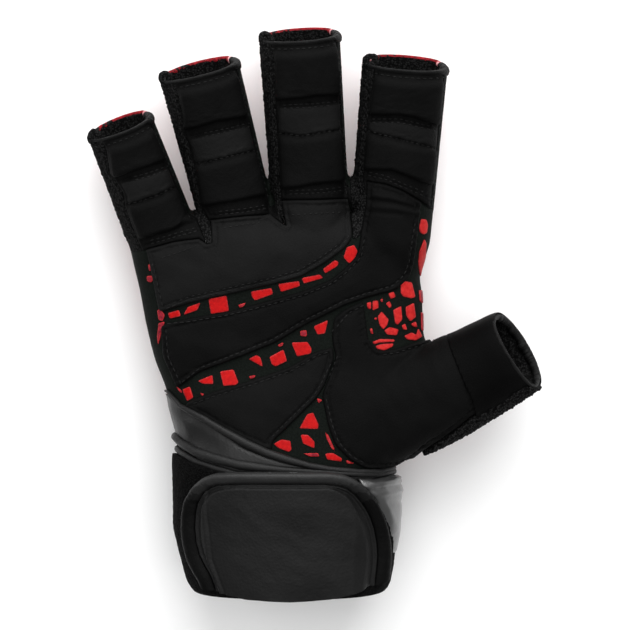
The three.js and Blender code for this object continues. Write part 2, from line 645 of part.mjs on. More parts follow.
addPiece('hand_shell', handShell(), fabric);
fingers.forEach((finger, i) => {
  const region = fingerRegion(i, -GAP / 2);
  addPiece(`finger_face_${finger.name}`, fingerFace(finger, region), suede);
  addPiece(`finger_gusset_${finger.name}`, fingerSide(finger, region, FACE_TO, GUSSET_TO, 4), knit);
  addPiece(`finger_back_${finger.name}`, fingerSide(finger, region, GUSSET_TO, 360 + FACE_FROM, 9), fabric);
  addPiece(`finger_hem_${finger.name}`, digitHem(finger.digit), binding);
});
addPiece('thumb_sleeve', thumbSleeve(), suede);
addPiece('thumb_hem', digitHem(thumb), binding);
addPiece('thumb_terry', thumbTerry(), terry);
addPiece('palm_panel_knuckle', palmPanel(KNUCKLE_PANEL), suede);
addPiece('palm_panel_sweep', palmPanel(SWEEP_PANEL), suede);
addPiece('palm_panel_heel', palmPanel(HEEL_PANEL), suede);
addPiece('thumb_panel', palmPanel(THUMB_PANEL).subtract(terryBlock(GAP / 2)), suede);
addPiece('cuff_binding', wristCord(CUFF_LINE, 0, BINDING_RADIUS), binding);
addPiece('cuff_leather', cuffLeather(), smoothLeather);
addPiece('wrap_piping_upper', wristCord(PIPING_LINE, 0, PIPING_RADIUS), binding);
addPiece('wrap_piping_lower', wristCord(PIPING_LINE, -PIPING_PITCH, PIPING_RADIUS), binding);
addPiece('wrist_wrap', wristWrap(), loopFabric);
addPiece('strap_leather', strapLeather(), smoothLeather);
addPiece('tab_panel', tabPanel(), smoothLeather);
addPiece('tab_binding', tabBinding(), binding);

const box = new THREE.Box3().setFromObject(glove);
const centre = box.getCenter(new THREE.Vector3());
glove.position.set(-centre.x, -centre.y, -box.min.z);

const group = new THREE.Group();
group.add(glove);

export default group;
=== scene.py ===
# Weightlifting glove for the right hand: what is seen of it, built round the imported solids.
# The glove's own sizes are in millimetres, and Blender's objects are in metres.

import math

import bpy
import numpy as np
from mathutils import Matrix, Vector
from mathutils.bvhtree import BVHTree


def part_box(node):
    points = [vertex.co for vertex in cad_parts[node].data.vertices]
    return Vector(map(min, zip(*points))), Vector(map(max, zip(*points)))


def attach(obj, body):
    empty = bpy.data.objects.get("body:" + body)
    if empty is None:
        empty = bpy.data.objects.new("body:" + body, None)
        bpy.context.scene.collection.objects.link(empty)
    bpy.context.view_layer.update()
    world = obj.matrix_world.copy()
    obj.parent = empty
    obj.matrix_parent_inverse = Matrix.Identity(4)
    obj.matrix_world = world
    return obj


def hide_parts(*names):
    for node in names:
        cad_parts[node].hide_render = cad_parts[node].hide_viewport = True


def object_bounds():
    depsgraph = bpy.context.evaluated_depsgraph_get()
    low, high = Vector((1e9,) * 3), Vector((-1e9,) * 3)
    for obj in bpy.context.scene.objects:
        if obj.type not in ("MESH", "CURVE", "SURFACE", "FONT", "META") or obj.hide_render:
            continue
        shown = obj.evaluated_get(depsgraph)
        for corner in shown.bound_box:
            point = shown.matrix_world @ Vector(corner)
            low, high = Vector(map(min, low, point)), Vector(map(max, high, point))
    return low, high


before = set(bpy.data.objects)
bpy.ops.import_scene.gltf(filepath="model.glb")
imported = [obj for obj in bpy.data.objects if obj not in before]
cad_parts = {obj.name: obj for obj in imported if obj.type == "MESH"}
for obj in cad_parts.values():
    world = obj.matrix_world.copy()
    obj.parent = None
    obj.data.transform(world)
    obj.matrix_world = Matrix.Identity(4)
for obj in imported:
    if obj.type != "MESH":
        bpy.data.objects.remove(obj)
CAD_LOW, CAD_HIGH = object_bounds()
METRE = 0.001

# Overall sizes, as in the part's source
GLOVE_LENGTH = 198.0
KNUCKLE_BREADTH = 104.0
PALM_DEPTH = 35.0
WRIST_BREADTH = 69.0
WRIST_DEPTH = 38.0
FINGER_BREADTH = 27.0
FINGER_DEPTH = 23.0
FINGER_LIFT = 6.0
HEM_RADIUS = 1.3
GAP = 0.3
SEAM = 0.03  # half of the slit along a sewn seam
CLOTH = 1.2  # how far fabric and leather reach below the skin
WRAP_WALL = 3.0
STRAP_WALL = 1.6
WRAP_STACK = GAP + WRAP_WALL + GAP + STRAP_WALL
BINDING_RADIUS = 1.2
HAND_POWER = 2 / 2.5
FINGER_POWER = 2 / 2.25
FLATTENING = 0.12
ROOT_HEIGHT = 0.48 * PALM_DEPTH
PALM_SIDE = 16.0  # height above which a point counts as the palm's side
BACK_SIDE = -0.45  # a face whose normal rises less than this is on the glove's back
OWN_REACH = 1.7  # skin further than this from a finger's middle line, in half sizes, is another's

# The camera, which the charts below use too: the picture is 630 pixels square.
PICTURE = 630
CAMERA_DISTANCE = 1300.0
CAMERA_TILT = math.radians(7.8)
MIDDLE_PIXEL = (315.0, 315.0)
TARGET = np.array([0.0, 0.0, 25.0])
PIXELS_PER_MM = 2.9

# The hand's sections, from the wrist end to the knuckles. Each row has the share of the length, the
# shares of the breadth to the left and the right, the share of the wrap's height that it lies on,
# the share of the depth, and the share of the depth that the palm is hollowed by.
WRIST_ROWS = [
    (-0.03, -0.405, 0.44, 1.0, 0.95, 0.0),
    (0.0, -0.43, 0.46, 1.0, 0.97, 0.0),
    (0.05, -0.475, 0.49, 1.0, 0.99, 0.0),
    (0.09, -0.503, 0.505, 1.0, 0.995, 0.0),
    (0.13, -0.525, 0.515, 1.0, 1.0, 0.0),
    (0.246, -0.525, 0.53, 1.0, 1.02, 0.0),
]
PALM_ROWS = [
    (0.283, -0.357, 0.42, 0.85, 1.1, 0.01),
    (0.32, -0.376, 0.455, 0.65, 1.12, 0.04),
    (0.37, -0.405, 0.475, 0.35, 1.13, 0.07),
    (0.42, -0.441, 0.47, 0.0, 1.12, 0.09),
    (0.475, -0.466, 0.455, 0.0, 1.08, 0.09),
    (0.525, -0.485, 0.452, 0.0, 1.04, 0.06),
    (0.58, -0.509, 0.44, 0.0, 0.99, 0.03),
    (0.63, -0.525, 0.44, 0.05, 0.92, 0.0),
    (0.67, -0.5, 0.43, 0.5, 0.7, 0.0),
]
SECTIONS = ((WRIST_ROWS, WRIST_BREADTH, WRIST_DEPTH), (PALM_ROWS, KNUCKLE_BREADTH, PALM_DEPTH))
HAND_ROWS = [
    (along, left * breadth, right * breadth, low, deep * depth, dish * depth)
    for table, breadth, depth in SECTIONS
    for along, left, right, low, deep, dish in table
]
KNUCKLE_END = 0.665

# Middle lines of the fingers, charted in the picture: root, tip, half breadths there, depth share
FINGERS = {
    "little": ((170, 254), (120, 125), 12.0, 11.3, 0.9),
    "ring": ((243, 238), (199.5, 68.5), 12.4, 13.6, 1.0),
    "middle": ((313, 235), (300, 35), 12.9, 13.6, 1.0),
    "index": ((391, 238), (406, 63), 13.7, 14.4, 1.0),
}
ROOT_DEPTH_SHARE = 1.2
FACE_FROM = 24.0
GUSSET_TO = 205.0
DIGIT_STEPS = 200
HAND_SIDES, HAND_RINGS = 160, 170
DIGIT_SIDES, FINGER_RINGS, THUMB_RINGS = 96, 100, 90
WEB_SIDES, WEB_RINGS = 24, 14
WRIST_SIDES = 300
CORD_STEPS = 320
WEB_SHARES = (0.0, 0.35, 0.72)  # places along the forks' first parts
WEB_HALVES = (2.0, 5.0, 9.5)  # across, along and in height
ROOT_RUN = -0.4  # how far a finger's tube runs on into the palm, as a share of its length
ROOT_THINNING = 14.0  # millimetres that it would lose over a whole length in there
VOXEL = 0.9
SKIN_ROUNDS = 9
NORMAL_ROUNDS = 6

# The thumb's middle line, charted in the picture from its root
THUMB_ROWS = [
    # pixel, height, half breadth, half depth
    ((366, 415), 23.8, 18.9, 15.6),
    ((430, 394), 24.4, 16.6, 14.0),
    ((472, 375.5), 26.8, 14.6, 12.4),
    ((518, 349.5), 31.6, 13.5, 11.5),
]

# Forks between the fingers, charted in the picture's pixels from the crotch upwards
FORKS = [
    [(207, 244), (192, 208), (157, 100), (141, 15)],
    [(284, 225), (269, 180), (250, 60), (246, 10)],
    [(353, 239), (350, 175), (351, 80), (351, 10)],
]
OUTER_SEAMS = [[(98, 253), (14, 15)], [(466, 223), (556, 10)]]
CREASES = {
    "little": [(141, 251), (150, 248), (175, 242), (199, 239)],
    "ring": [(212, 243), (211, 220), (225, 218), (245, 216), (270, 215)],
    "middle": [(286, 226), (283, 200), (320, 199.5), (348, 198.5)],
    "index": [(360, 236), (367, 205), (368, 181), (386, 184), (402, 190), (418, 200), (434, 211)],
}
# Left edges of the leather faces, from the tip down, where the knit side strips begin
FACE_EDGES = {
    "little": [(104, 140), (107, 150), (111, 172), (118, 182), (124, 193), (126, 205), (134, 228),
               (143, 249)],
    "ring": [(175, 80), (179, 95), (183, 112), (185, 130), (190, 145), (197, 172), (203, 207), (211, 224),
             (213, 244)],
    "middle": [(272, 42), (275, 60), (276, 95), (278, 130), (281, 175), (283, 212), (286, 226)],
    "index": [(376, 62), (375, 75), (372, 92), (368, 125), (366, 150), (364, 180), (367, 195), (366, 210),
              (360, 240)],
}
CURLS = {"little": (94.5, 137), "ring": (165.5, 79), "middle": (266, 38.5), "index": (370.5, 60.5)}
THUMB_SEAM = [(446, 325), (449, 340), (452, 350), (460, 370), (466, 385), (472, 397), (475, 412),
              (478, 440)]


def mix(a, b, t):
    return a + (b - a) * t


def smooth_step(low, high, x):
    t = np.clip((x - low) / (high - low), 0, 1)
    return t * t * (3 - 2 * t)


def bell(x, width):
    """One in the middle, and next to nought from two widths outwards."""
    return np.exp(-((x / width) ** 2))


def curve_through(xs, ys, x):
    """A smooth curve through the rows of a table, with no highs or lows of its own."""
    xs = np.asarray(xs, float)
    ys = np.asarray(ys, float)
    steps = np.diff(xs)
    slopes = np.diff(ys) / steps
    tangents = np.zeros_like(ys)
    same = slopes[:-1] * slopes[1:] > 0
    both = slopes[:-1] + slopes[1:]
    tangents[1:-1][same] = 2 * slopes[:-1][same] * slopes[1:][same] / both[same]
    tangents[0], tangents[-1] = slopes[0], slopes[-1]
    x = np.clip(x, xs[0], xs[-1])
    i = np.clip(np.searchsorted(xs, x, side="right") - 1, 0, len(xs) - 2)
    h = steps[i]
    t = (x - xs[i]) / h
    first = (2 * t**3 - 3 * t**2 + 1) * ys[i] + (t**3 - 2 * t**2 + t) * h * tangents[i]
    return first + (3 * t**2 - 2 * t**3) * ys[i + 1] + (t**3 - t**2) * h * tangents[i + 1]


# The glove's middle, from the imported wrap: the tables above start at the wrist end
wrap_low, wrap_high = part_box("wrist_wrap")
WRAP_LEFT, WRAP_RIGHT = -0.51, 0.48  # shares of the wrist's breadth
WRAP_MIDDLE = (WRAP_LEFT + WRAP_RIGHT) / 2 * WRIST_BREADTH
SHIFT = np.array([
    (wrap_low.x + wrap_high.x) / 2 / METRE - WRAP_MIDDLE,
    wrap_low.y / METRE,
    0.0,
])


def picture(points):
    """Where points of the glove are seen in the picture, in pixels."""
    places = np.asarray(points, float).reshape(-1, 3) + SHIFT - TARGET
    tilt_sin, tilt_cos = math.sin(CAMERA_TILT), math.cos(CAMERA_TILT)
    up = places[:, 1] * tilt_cos - places[:, 2] * tilt_sin
    depth = CAMERA_DISTANCE - (places[:, 1] * tilt_sin + places[:, 2] * tilt_cos)
    scale = PIXELS_PER_MM * CAMERA_DISTANCE / depth
    return np.stack([MIDDLE_PIXEL[0] + places[:, 0] * scale, MIDDLE_PIXEL[1] - up * scale], 1)


def camera_frame():
    back = np.array([0.0, math.sin(CAMERA_TILT), math.cos(CAMERA_TILT)])
    eye = TARGET - SHIFT + back * CAMERA_DISTANCE
    right = np.array([1.0, 0.0, 0.0])
    up = np.array([0.0, math.cos(CAMERA_TILT), -math.sin(CAMERA_TILT)])
    return eye, right, up, back


def ray_through(pixel):
    """The camera's place and the direction in which a pixel is seen."""
    eye, right, up, back = camera_frame()
    focal = PIXELS_PER_MM * CAMERA_DISTANCE
    across = (pixel[0] - MIDDLE_PIXEL[0]) / focal
    rise = (MIDDLE_PIXEL[1] - pixel[1]) / focal
    direction = right * across + up * rise - back
    return eye, direction / np.linalg.norm(direction)


def on_level(px, py, height):
    """The point of the glove seen at a pixel, at a height."""
    eye, direction = ray_through((px, py))
    return eye + direction * (height - eye[2]) / direction[2]


def super_shape(angle, half_breadth, half_depth, power):
    c, s = np.cos(angle), np.sin(angle)
    x = np.sign(c) * np.abs(c) ** power * half_breadth
    return x, np.sign(s) * np.abs(s) ** power * half_depth


def hand_points(angle, along, offset=0.0):
    """Points on the hand's skin, at angles round it and shares of the glove's length."""
    rows = list(zip(*HAND_ROWS))
    left, right, low, depth, dish = (curve_through(rows[0], row, along) for row in rows[1:])
    low = low * WRAP_STACK
    half_breadth = (right - left) / 2 + offset
    half_depth = depth / 2 + offset
    x, rise = super_shape(angle, half_breadth, half_depth, HAND_POWER)
    hollow = np.where(rise > 0, dish * (1 - (x / half_breadth) ** 2) ** 2, 0)
    z = low + depth / 2 + rise * np.where(rise < 0, 1 + FLATTENING, 1) - hollow
    z = np.maximum(z, low - offset)
    return np.stack(np.broadcast_arrays((left + right) / 2 + x, along * GLOVE_LENGTH, z), -1)


class Digit:
    """A finger or the thumb: its middle line and half sizes, and points on its skin."""

    def __init__(self, centres, halves):
        shares = np.linspace(0, 1, len(centres))
        fine = np.linspace(0, 1, DIGIT_STEPS + 1)
        columns = np.asarray(centres, float).T
        self.centres = np.stack([curve_through(shares, column, fine) for column in columns], 1)
        self.halves = np.stack([np.interp(fine, shares, column) for column in np.asarray(halves).T], 1)
        step = np.gradient(self.centres, fine, axis=0)
        self.forward = step / np.linalg.norm(step, axis=1)[:, None]
        flat = np.stack([self.forward[:, 1], -self.forward[:, 0], np.zeros(len(fine))], 1)
        self.sideways = flat / np.linalg.norm(flat, axis=1)[:, None]
        self.upward = np.cross(self.sideways, self.forward)
        self.length = np.linalg.norm(np.diff(self.centres, axis=0), axis=1).sum()

    def at(self, table, v):
        """The rows of a table of the middle line, at shares along it."""
        place = np.clip(v, 0, 1) * DIGIT_STEPS
        row = np.minimum(place.astype(int), DIGIT_STEPS - 1)
        t = (place - row)[..., None]
        return table[row] * (1 - t) + table[row + 1] * t
    def points(self, angle, v, offset=0.0):
        angle, v = np.broadcast_arrays(np.asarray(angle, float), np.asarray(v, float))
        halves = self.at(self.halves, v) + np.asarray(offset, float)[..., None]
        x, z = super_shape(angle, halves[..., 0], halves[..., 1], FINGER_POWER)
        over = (v - np.clip(v, 0, 1)) * self.length
        centre = self.at(self.centres, v) + self.at(self.forward, v) * over[..., None]
        return centre + self.at(self.sideways, v) * x[..., None] + self.at(self.upward, v) * z[..., None]

    def read(self, points):
        """The share along, the angle in degrees and the reach from the middle of each point."""
        v = np.full(len(points), 0.5)
        for _ in range(8):
            along = np.clip(v, 0, 1)
            centre = self.at(self.centres, along)
            forward = self.at(self.forward, along)
            v = along + np.einsum("ij,ij->i", points - centre, forward) / self.length
        along = np.clip(v, 0, 1)
        away = points - self.at(self.centres, along)
        halves = self.at(self.halves, along)
        a = np.einsum("ij,ij->i", away, self.at(self.sideways, along)) / halves[:, 0]
        b = np.einsum("ij,ij->i", away, self.at(self.upward, along)) / halves[:, 1]
        c = np.sign(a) * np.abs(a) ** (1 / FINGER_POWER)
        s = np.sign(b) * np.abs(b) ** (1 / FINGER_POWER)
        angle = np.degrees(np.arctan2(s, c))
        return v, angle, np.hypot(c, s)


def finger_digit(row):
    root, tip, root_breadth, tip_breadth, depth = row
    shares = np.linspace(0, 1, 5)
    first = on_level(*root, ROOT_HEIGHT)
    last = on_level(*tip, ROOT_HEIGHT + FINGER_LIFT)
    centres = first + (last - first) * shares[:, None]
    centres[:, 2] = ROOT_HEIGHT + FINGER_LIFT * shares**2
    half_breadth = mix(root_breadth, tip_breadth, shares)
    half_depth = FINGER_DEPTH * depth / 2 * mix(ROOT_DEPTH_SHARE, 1, shares)
    return Digit(centres, np.stack([half_breadth, half_depth], 1))


def thumb_digit():
    centres = [on_level(*pixel, height) for pixel, height, _, _ in THUMB_ROWS]
    return Digit(centres, [row[2:] for row in THUMB_ROWS])


digits = {name: finger_digit(row) for name, row in FINGERS.items()}
thumb = thumb_digit()


# Meshes as arrays of points and triangles


def grid_triangles(rows, columns, round_rows, round_columns, corners):
    """Triangles over a grid of points that may close on itself.

    Each cell has the corners a and b in one row, and c and d in the next.
    """
    last_row = rows if round_rows else rows - 1
    last_column = columns if round_columns else columns - 1
    i, j = np.meshgrid(np.arange(last_row), np.arange(last_column), indexing="ij")
    below, beside = (i + 1) % rows * columns, (j + 1) % columns
    cell = {"a": i * columns + j, "b": i * columns + beside, "c": below + j, "d": below + beside}
    return np.concatenate([np.stack([cell[k] for k in three], -1).reshape(-1, 3) for three in corners])


def closed_tube(rings):
    """A tube through rings of points, with a flat lid at each end."""
    rows, columns = rings.shape[:2]
    triangles = grid_triangles(rows, columns, False, True, ("abd", "adc"))
    points = rings.reshape(-1, 3)
    hubs = [rings[0].mean(0), rings[-1].mean(0)]
    side = np.arange(columns)
    after = (side + 1) % columns
    first = np.stack([np.full(columns, len(points)), after, side], 1)
    base = (rows - 1) * columns
    last = np.stack([np.full(columns, len(points) + 1), base + side, base + after], 1)
    return np.concatenate([points, hubs]), np.concatenate([triangles, first, last])


def joined(parts):
    points, triangles, start = [], [], 0
    for part_points, part_triangles in parts:
        points.append(part_points)
        triangles.append(part_triangles + start)
        start += len(part_points)
    return np.concatenate(points), np.concatenate(triangles)


def vertex_normals(points, triangles):
    a, b, c = (points[triangles[:, i]] for i in range(3))
    faces = np.cross(b - a, c - a)
    normals = np.stack([
        sum(np.bincount(triangles[:, i], faces[:, axis], len(points)) for i in range(3))
        for axis in range(3)
    ], 1)
    return normals / np.maximum(np.linalg.norm(normals, axis=1), 1e-12)[:, None]


def triangle_sides(triangles):
    """The three directed sides of every triangle."""
    return np.concatenate([triangles[:, [0, 1]], triangles[:, [1, 2]], triangles[:, [2, 0]]])


def edges_of(triangles):
    return np.unique(np.sort(triangle_sides(triangles), axis=1), axis=0)


def relaxed(values, edges, rounds, amount=0.5):
    """Values at the vertices, evened out along the edges."""
    count = len(values)
    degree = np.bincount(edges.ravel(), minlength=count).astype(float)
    for _ in range(rounds):
        total = np.stack([
            np.bincount(edges[:, 0], values[edges[:, 1], axis], count)
            + np.bincount(edges[:, 1], values[edges[:, 0], axis], count)
            for axis in range(values.shape[1])
        ], 1)
        values = values + amount * (total / degree[:, None] - values)
    return values


def compact(data, triangles):
    used, index = np.unique(triangles, return_inverse=True)
    return data[used], index.reshape(triangles.shape)


def finer(points, normals, triangles):
    """Each triangle in four, with the new points lifted on to the curve of the skin."""
    edges = np.sort(triangle_sides(triangles), axis=1)
    unique, index = np.unique(edges, axis=0, return_inverse=True)
    index = index.reshape(3, -1) + len(points)
    a, b = unique[:, 0], unique[:, 1]
    middle = (points[a] + points[b]) / 2
    pull = sum(np.einsum("ij,ij->i", middle - points[e], normals[e])[:, None] * normals[e] for e in (a, b))
    middle = middle - 0.375 * pull
    turned = normals[a] + normals[b]
    turned /= np.linalg.norm(turned, axis=1)[:, None]
    ab, bc, ca = index
    t = triangles
    parts = [
        np.stack([t[:, 0], ab, ca], 1),
        np.stack([t[:, 1], bc, ab], 1),
        np.stack([t[:, 2], ca, bc], 1),
        np.stack([ab, bc, ca], 1),
    ]
    return np.concatenate([points, middle]), np.concatenate([normals, turned]), np.concatenate(parts)


def clipped(data, triangles, field):
    """The part of a mesh where the field is above nought, cut cleanly along its edge."""
    field = np.where(np.abs(field) < 1e-6, -1e-6, field)
    inside = field > 0
    count = inside[triangles].sum(1)
    whole = triangles[count == 3]
    result = [whole]
    new_data = [data]
    mixed = triangles[(count == 1) | (count == 2)]
    if len(mixed):
        single = inside[mixed].sum(1) == 1
        odd_inside = inside[mixed] == single[:, None]
        first = odd_inside.argmax(1)
        rows = np.arange(len(mixed))
        o = mixed[rows, first]
        a = mixed[rows, (first + 1) % 3]
        b = mixed[rows, (first + 2) % 3]
        pairs = np.sort(np.concatenate([np.stack([o, a], 1), np.stack([o, b], 1)]), axis=1)
        unique, index = np.unique(pairs, axis=0, return_inverse=True)
        index = index.reshape(-1)
        t = (field[unique[:, 0]] / (field[unique[:, 0]] - field[unique[:, 1]]))[:, None]
        new_data.append(data[unique[:, 0]] * (1 - t) + data[unique[:, 1]] * t)
        oa = index[: len(mixed)] + len(data)
        ob = index[len(mixed):] + len(data)
        one = np.stack([o, oa, ob], 1)[single]
        two = ~single
        result += [one, np.stack([oa, a, b], 1)[two], np.stack([oa, b, ob], 1)[two]]
    return compact(np.concatenate(new_data), np.concatenate(result))


def cut(points, normals, triangles, field, *extras):
    """The part of a surface where the field is above nought: points, normals, extras, triangles."""
    columns = [points, normals, *[np.reshape(extra, (len(points), -1)) for extra in extras]]
    data, triangles = clipped(np.concatenate(columns, 1), triangles, field)
    ends = np.cumsum([column.shape[1] for column in columns])[:-1]
    parts = np.split(data, ends, axis=1)
    return *[part[:, 0] if part.shape[1] == 1 else part for part in parts], triangles


def boundary_edges(triangles):
    """The directed edges that only one triangle has."""
    pairs = triangle_sides(triangles)
    keys = np.sort(pairs, axis=1)
    _, index, counts = np.unique(keys, axis=0, return_index=True, return_counts=True)
    return pairs[index[counts == 1]]


def walled(top, bottom, triangles):
    """A closed wall between two layers of the same triangles."""
    count = len(top)
    rim = boundary_edges(triangles)
    a, b = rim[:, 0], rim[:, 1]
    sides = np.concatenate([np.stack([b, a, a + count], 1), np.stack([b, a + count, b + count], 1)])
    under = triangles[:, ::-1] + count
    return np.concatenate([top, bottom]), np.concatenate([triangles, under, sides])


def segment_distance(places, a, b):
    """How far each place is from the straight line between two points."""
    side, away = b - a, places - a
    t = np.clip(away @ side / (side @ side), 0, 1)
    return np.hypot(*(away - t[:, None] * side).T)


def line_distance(places, line):
    """How far each place is from a charted line, in pixels."""
    corners = np.asarray(line, float)
    return np.min([segment_distance(places, a, b) for a, b in zip(corners[:-1], corners[1:])], axis=0)


def chart_distance(places, outline):
    """How far inside a charted outline each place is, in pixels, and below nought outside."""
    corners = np.asarray(outline, float)
    nearest = line_distance(places, [*corners, corners[0]])
    inside = np.zeros(len(places), bool)
    for a, b in zip(corners, np.roll(corners, -1, axis=0)):
        crosses = (a[1] > places[:, 1]) != (b[1] > places[:, 1])
        with np.errstate(divide="ignore", invalid="ignore"):
            at_x = a[0] + (places[:, 1] - a[1]) / (b[1] - a[1]) * (b[0] - a[0])
        inside ^= crosses & (places[:, 0] < at_x)
    return np.where(inside, nearest, -nearest)


def rounded(outline, radius):
    """An outline with its corners rounded, in pixels."""
    corners = np.asarray(outline, float)
    result = []
    for before, corner, after in zip(np.roll(corners, 1, axis=0), corners, np.roll(corners, -1, axis=0)):
        back, onward = before - corner, after - corner
        first = corner + back * min(radius / np.hypot(*back), 0.45)
        last = corner + onward * min(radius / np.hypot(*onward), 0.45)
        for t in (0.0, 0.25, 0.5, 0.75, 1.0):
            result.append(mix(mix(first, corner, t), mix(corner, last, t), t))
    return result


NOISE_WAVES = 7


def noise(points, size, seed):
    """Smooth unevenness from -1 to 1, with bumps of about a size in millimetres."""
    draw = np.random.default_rng(seed)
    total = np.zeros(len(points))
    for _ in range(NOISE_WAVES):
        direction = draw.normal(size=3)
        direction /= np.linalg.norm(direction)
        turn = draw.normal(size=3)
        turn /= np.linalg.norm(turn)
        scale = 2 * math.pi / (size * draw.uniform(0.75, 1.5))
        bend = np.sin(points @ turn * scale * 0.7 + draw.uniform(0, 6.28)) * 1.3
        total += np.sin(points @ direction * scale + draw.uniform(0, 6.28) + bend)
    return total / NOISE_WAVES * 1.8


def put(name, data):
    """A new object in the scene."""
    thing = bpy.data.objects.new(name, data)
    bpy.context.scene.collection.objects.link(thing)
    return thing


# The skin: palm, fingers and thumb grown together


def web_blob(line, share):
    """A small rounded web in a fork between two fingers."""
    (x0, y0), (x1, y1) = line[0], line[1]
    centre = on_level(mix(x0, x1, share), mix(y0, y1, share), ROOT_HEIGHT)
    across, along, high = WEB_HALVES
    angles = np.linspace(0, 2 * math.pi, WEB_SIDES, endpoint=False)
    points = np.array([
        np.stack([
            across * math.sin(turn) * np.cos(angles),
            np.full(WEB_SIDES, -along * math.cos(turn)),
            high * math.sin(turn) * np.sin(angles),
        ], 1)
        for turn in np.linspace(0.02, math.pi - 0.02, WEB_RINGS)
    ])
    lean = math.atan2(x1 - x0, y0 - y1)
    x = points[..., 0] * math.cos(lean) + points[..., 1] * math.sin(lean)
    y = -points[..., 0] * math.sin(lean) + points[..., 1] * math.cos(lean)
    return closed_tube(np.stack([x, y, points[..., 2]], -1)[:, ::-1] + centre)


def skin_parts():
    """The palm, the fingers, the thumb and the webs as closed tubes that run into each other."""
    angles = np.linspace(0, 2 * math.pi, HAND_SIDES, endpoint=False)
    alongs = np.linspace(-0.03, KNUCKLE_END, HAND_RINGS)
    alongs = np.concatenate([alongs, KNUCKLE_END + np.array([0.002, 0.004])])
    parts = [closed_tube(hand_points(angles[None], alongs[:, None])[:, ::-1])]
    angles = np.linspace(0, 2 * math.pi, DIGIT_SIDES, endpoint=False)[None]
    for digit in digits.values():
        vs = np.linspace(ROOT_RUN, 1.05, FINGER_RINGS)
        sunk = np.minimum(vs, 0) * ROOT_THINNING
        parts.append(closed_tube(digit.points(angles, vs[:, None], sunk[:, None])[:, ::-1]))
    vs = np.linspace(-0.02, 1.06, THUMB_RINGS)
    parts.append(closed_tube(thumb.points(angles, vs[:, None])[:, ::-1]))
    return parts + [web_blob(line, share) for line, share in zip(FORKS, WEB_SHARES)]


def make_skin():
    """One skin round all the parts, with smooth normals."""
    points, triangles = joined(skin_parts())
    mesh = bpy.data.meshes.new("skin_source")
    mesh.from_pydata(points.tolist(), [], triangles.tolist())
    source = put("skin_source", mesh)
    remesh = source.modifiers.new("voxels", "REMESH")
    remesh.mode = "VOXEL"
    remesh.voxel_size = VOXEL
    graph = bpy.context.evaluated_depsgraph_get()
    result = bpy.data.meshes.new_from_object(source.evaluated_get(graph))
    result.calc_loop_triangles()
    points = np.zeros(len(result.vertices) * 3)
    result.vertices.foreach_get("co", points)
    points = points.reshape(-1, 3)
    triangles = np.zeros(len(result.loop_triangles) * 3, np.int64)
    result.loop_triangles.foreach_get("vertices", triangles)
    triangles = triangles.reshape(-1, 3)
    bpy.data.objects.remove(source)
    bpy.data.meshes.remove(mesh)
    bpy.data.meshes.remove(result)
    edges = edges_of(triangles)
    points = relaxed(points, edges, SKIN_ROUNDS)
    normals = relaxed(vertex_normals(points, triangles), edges, NORMAL_ROUNDS)
    normals /= np.linalg.norm(normals, axis=1)[:, None]
    return points, normals, triangles


skin = make_skin()
skin_points = skin[0]


def subset(points, normals, triangles, chosen):
    """The triangles that have a chosen vertex, with their own points."""
    kept = triangles[chosen[triangles].any(1)]
    data, triangles = compact(np.concatenate([points, normals], 1), kept)
    return data[:, :3], data[:, 3:], triangles


# Materials


class Recipe:
    """A material in the making, with textures measured in the glove's millimetres."""

    def __init__(self, name):
        self.material = bpy.data.materials.new(name)
        self.material.use_nodes = True
        self.links = self.material.node_tree.links
        self.shader = self.material.node_tree.nodes["Principled BSDF"]
        self.where = None

    def node(self, kind, **values):
        """A node with values for its inputs or its settings."""
        node = self.material.node_tree.nodes.new("ShaderNode" + kind)
        for key, value in values.items():
            if key in node.inputs:
                node.inputs[key].default_value = value
            else:
                setattr(node, key, value)
        return node

    def texture(self, kind, scale, **values):
        if self.where is None:
            place = self.node("TexCoord")
            mapping = self.node("Mapping", Scale=(1 / METRE, 1 / METRE, 1 / METRE))
            self.links.new(place.outputs["Object"], mapping.inputs["Vector"])
            self.where = mapping.outputs["Vector"]
        node = self.node("Tex" + kind, Scale=scale, **values)
        self.links.new(self.where, node.inputs["Vector"])
        return node

    def math(self, operation, *values):
        """A sum over outputs of other nodes and numbers."""
        node = self.node("Math", operation=operation)
        for socket, value in zip(node.inputs, values):
            if isinstance(value, float):
                socket.default_value = value
            else:
                self.links.new(value, socket)
        return node.outputs[0]

    def ramp(self, source, low, low_colour, high, high_colour):
        """A colour that goes from one to the other as the source rises."""
        ramp = self.node("ValToRGB")
        ends = ramp.color_ramp.elements
        ends[0].position, ends[0].color = low, (*low_colour, 1)
        ends[1].position, ends[1].color = high, (*high_colour, 1)
        self.links.new(source, ramp.inputs["Fac"])
        return ramp.outputs["Color"]

    def bump(self, height, strength, distance=0.0002):
        lift = self.node("Bump", Strength=strength, Distance=distance)
        self.links.new(height, lift.inputs["Height"])
        self.links.new(lift.outputs["Normal"], self.shader.inputs["Normal"])

    def finish(self, colour, roughness, specular):
        """The material itself, with its colour, roughness and gloss."""
        self.links.new(colour, self.shader.inputs["Base Color"])
        self.shader.inputs["Roughness"].default_value = roughness
        self.shader.inputs["Specular IOR Level"].default_value = specular
        return self.material


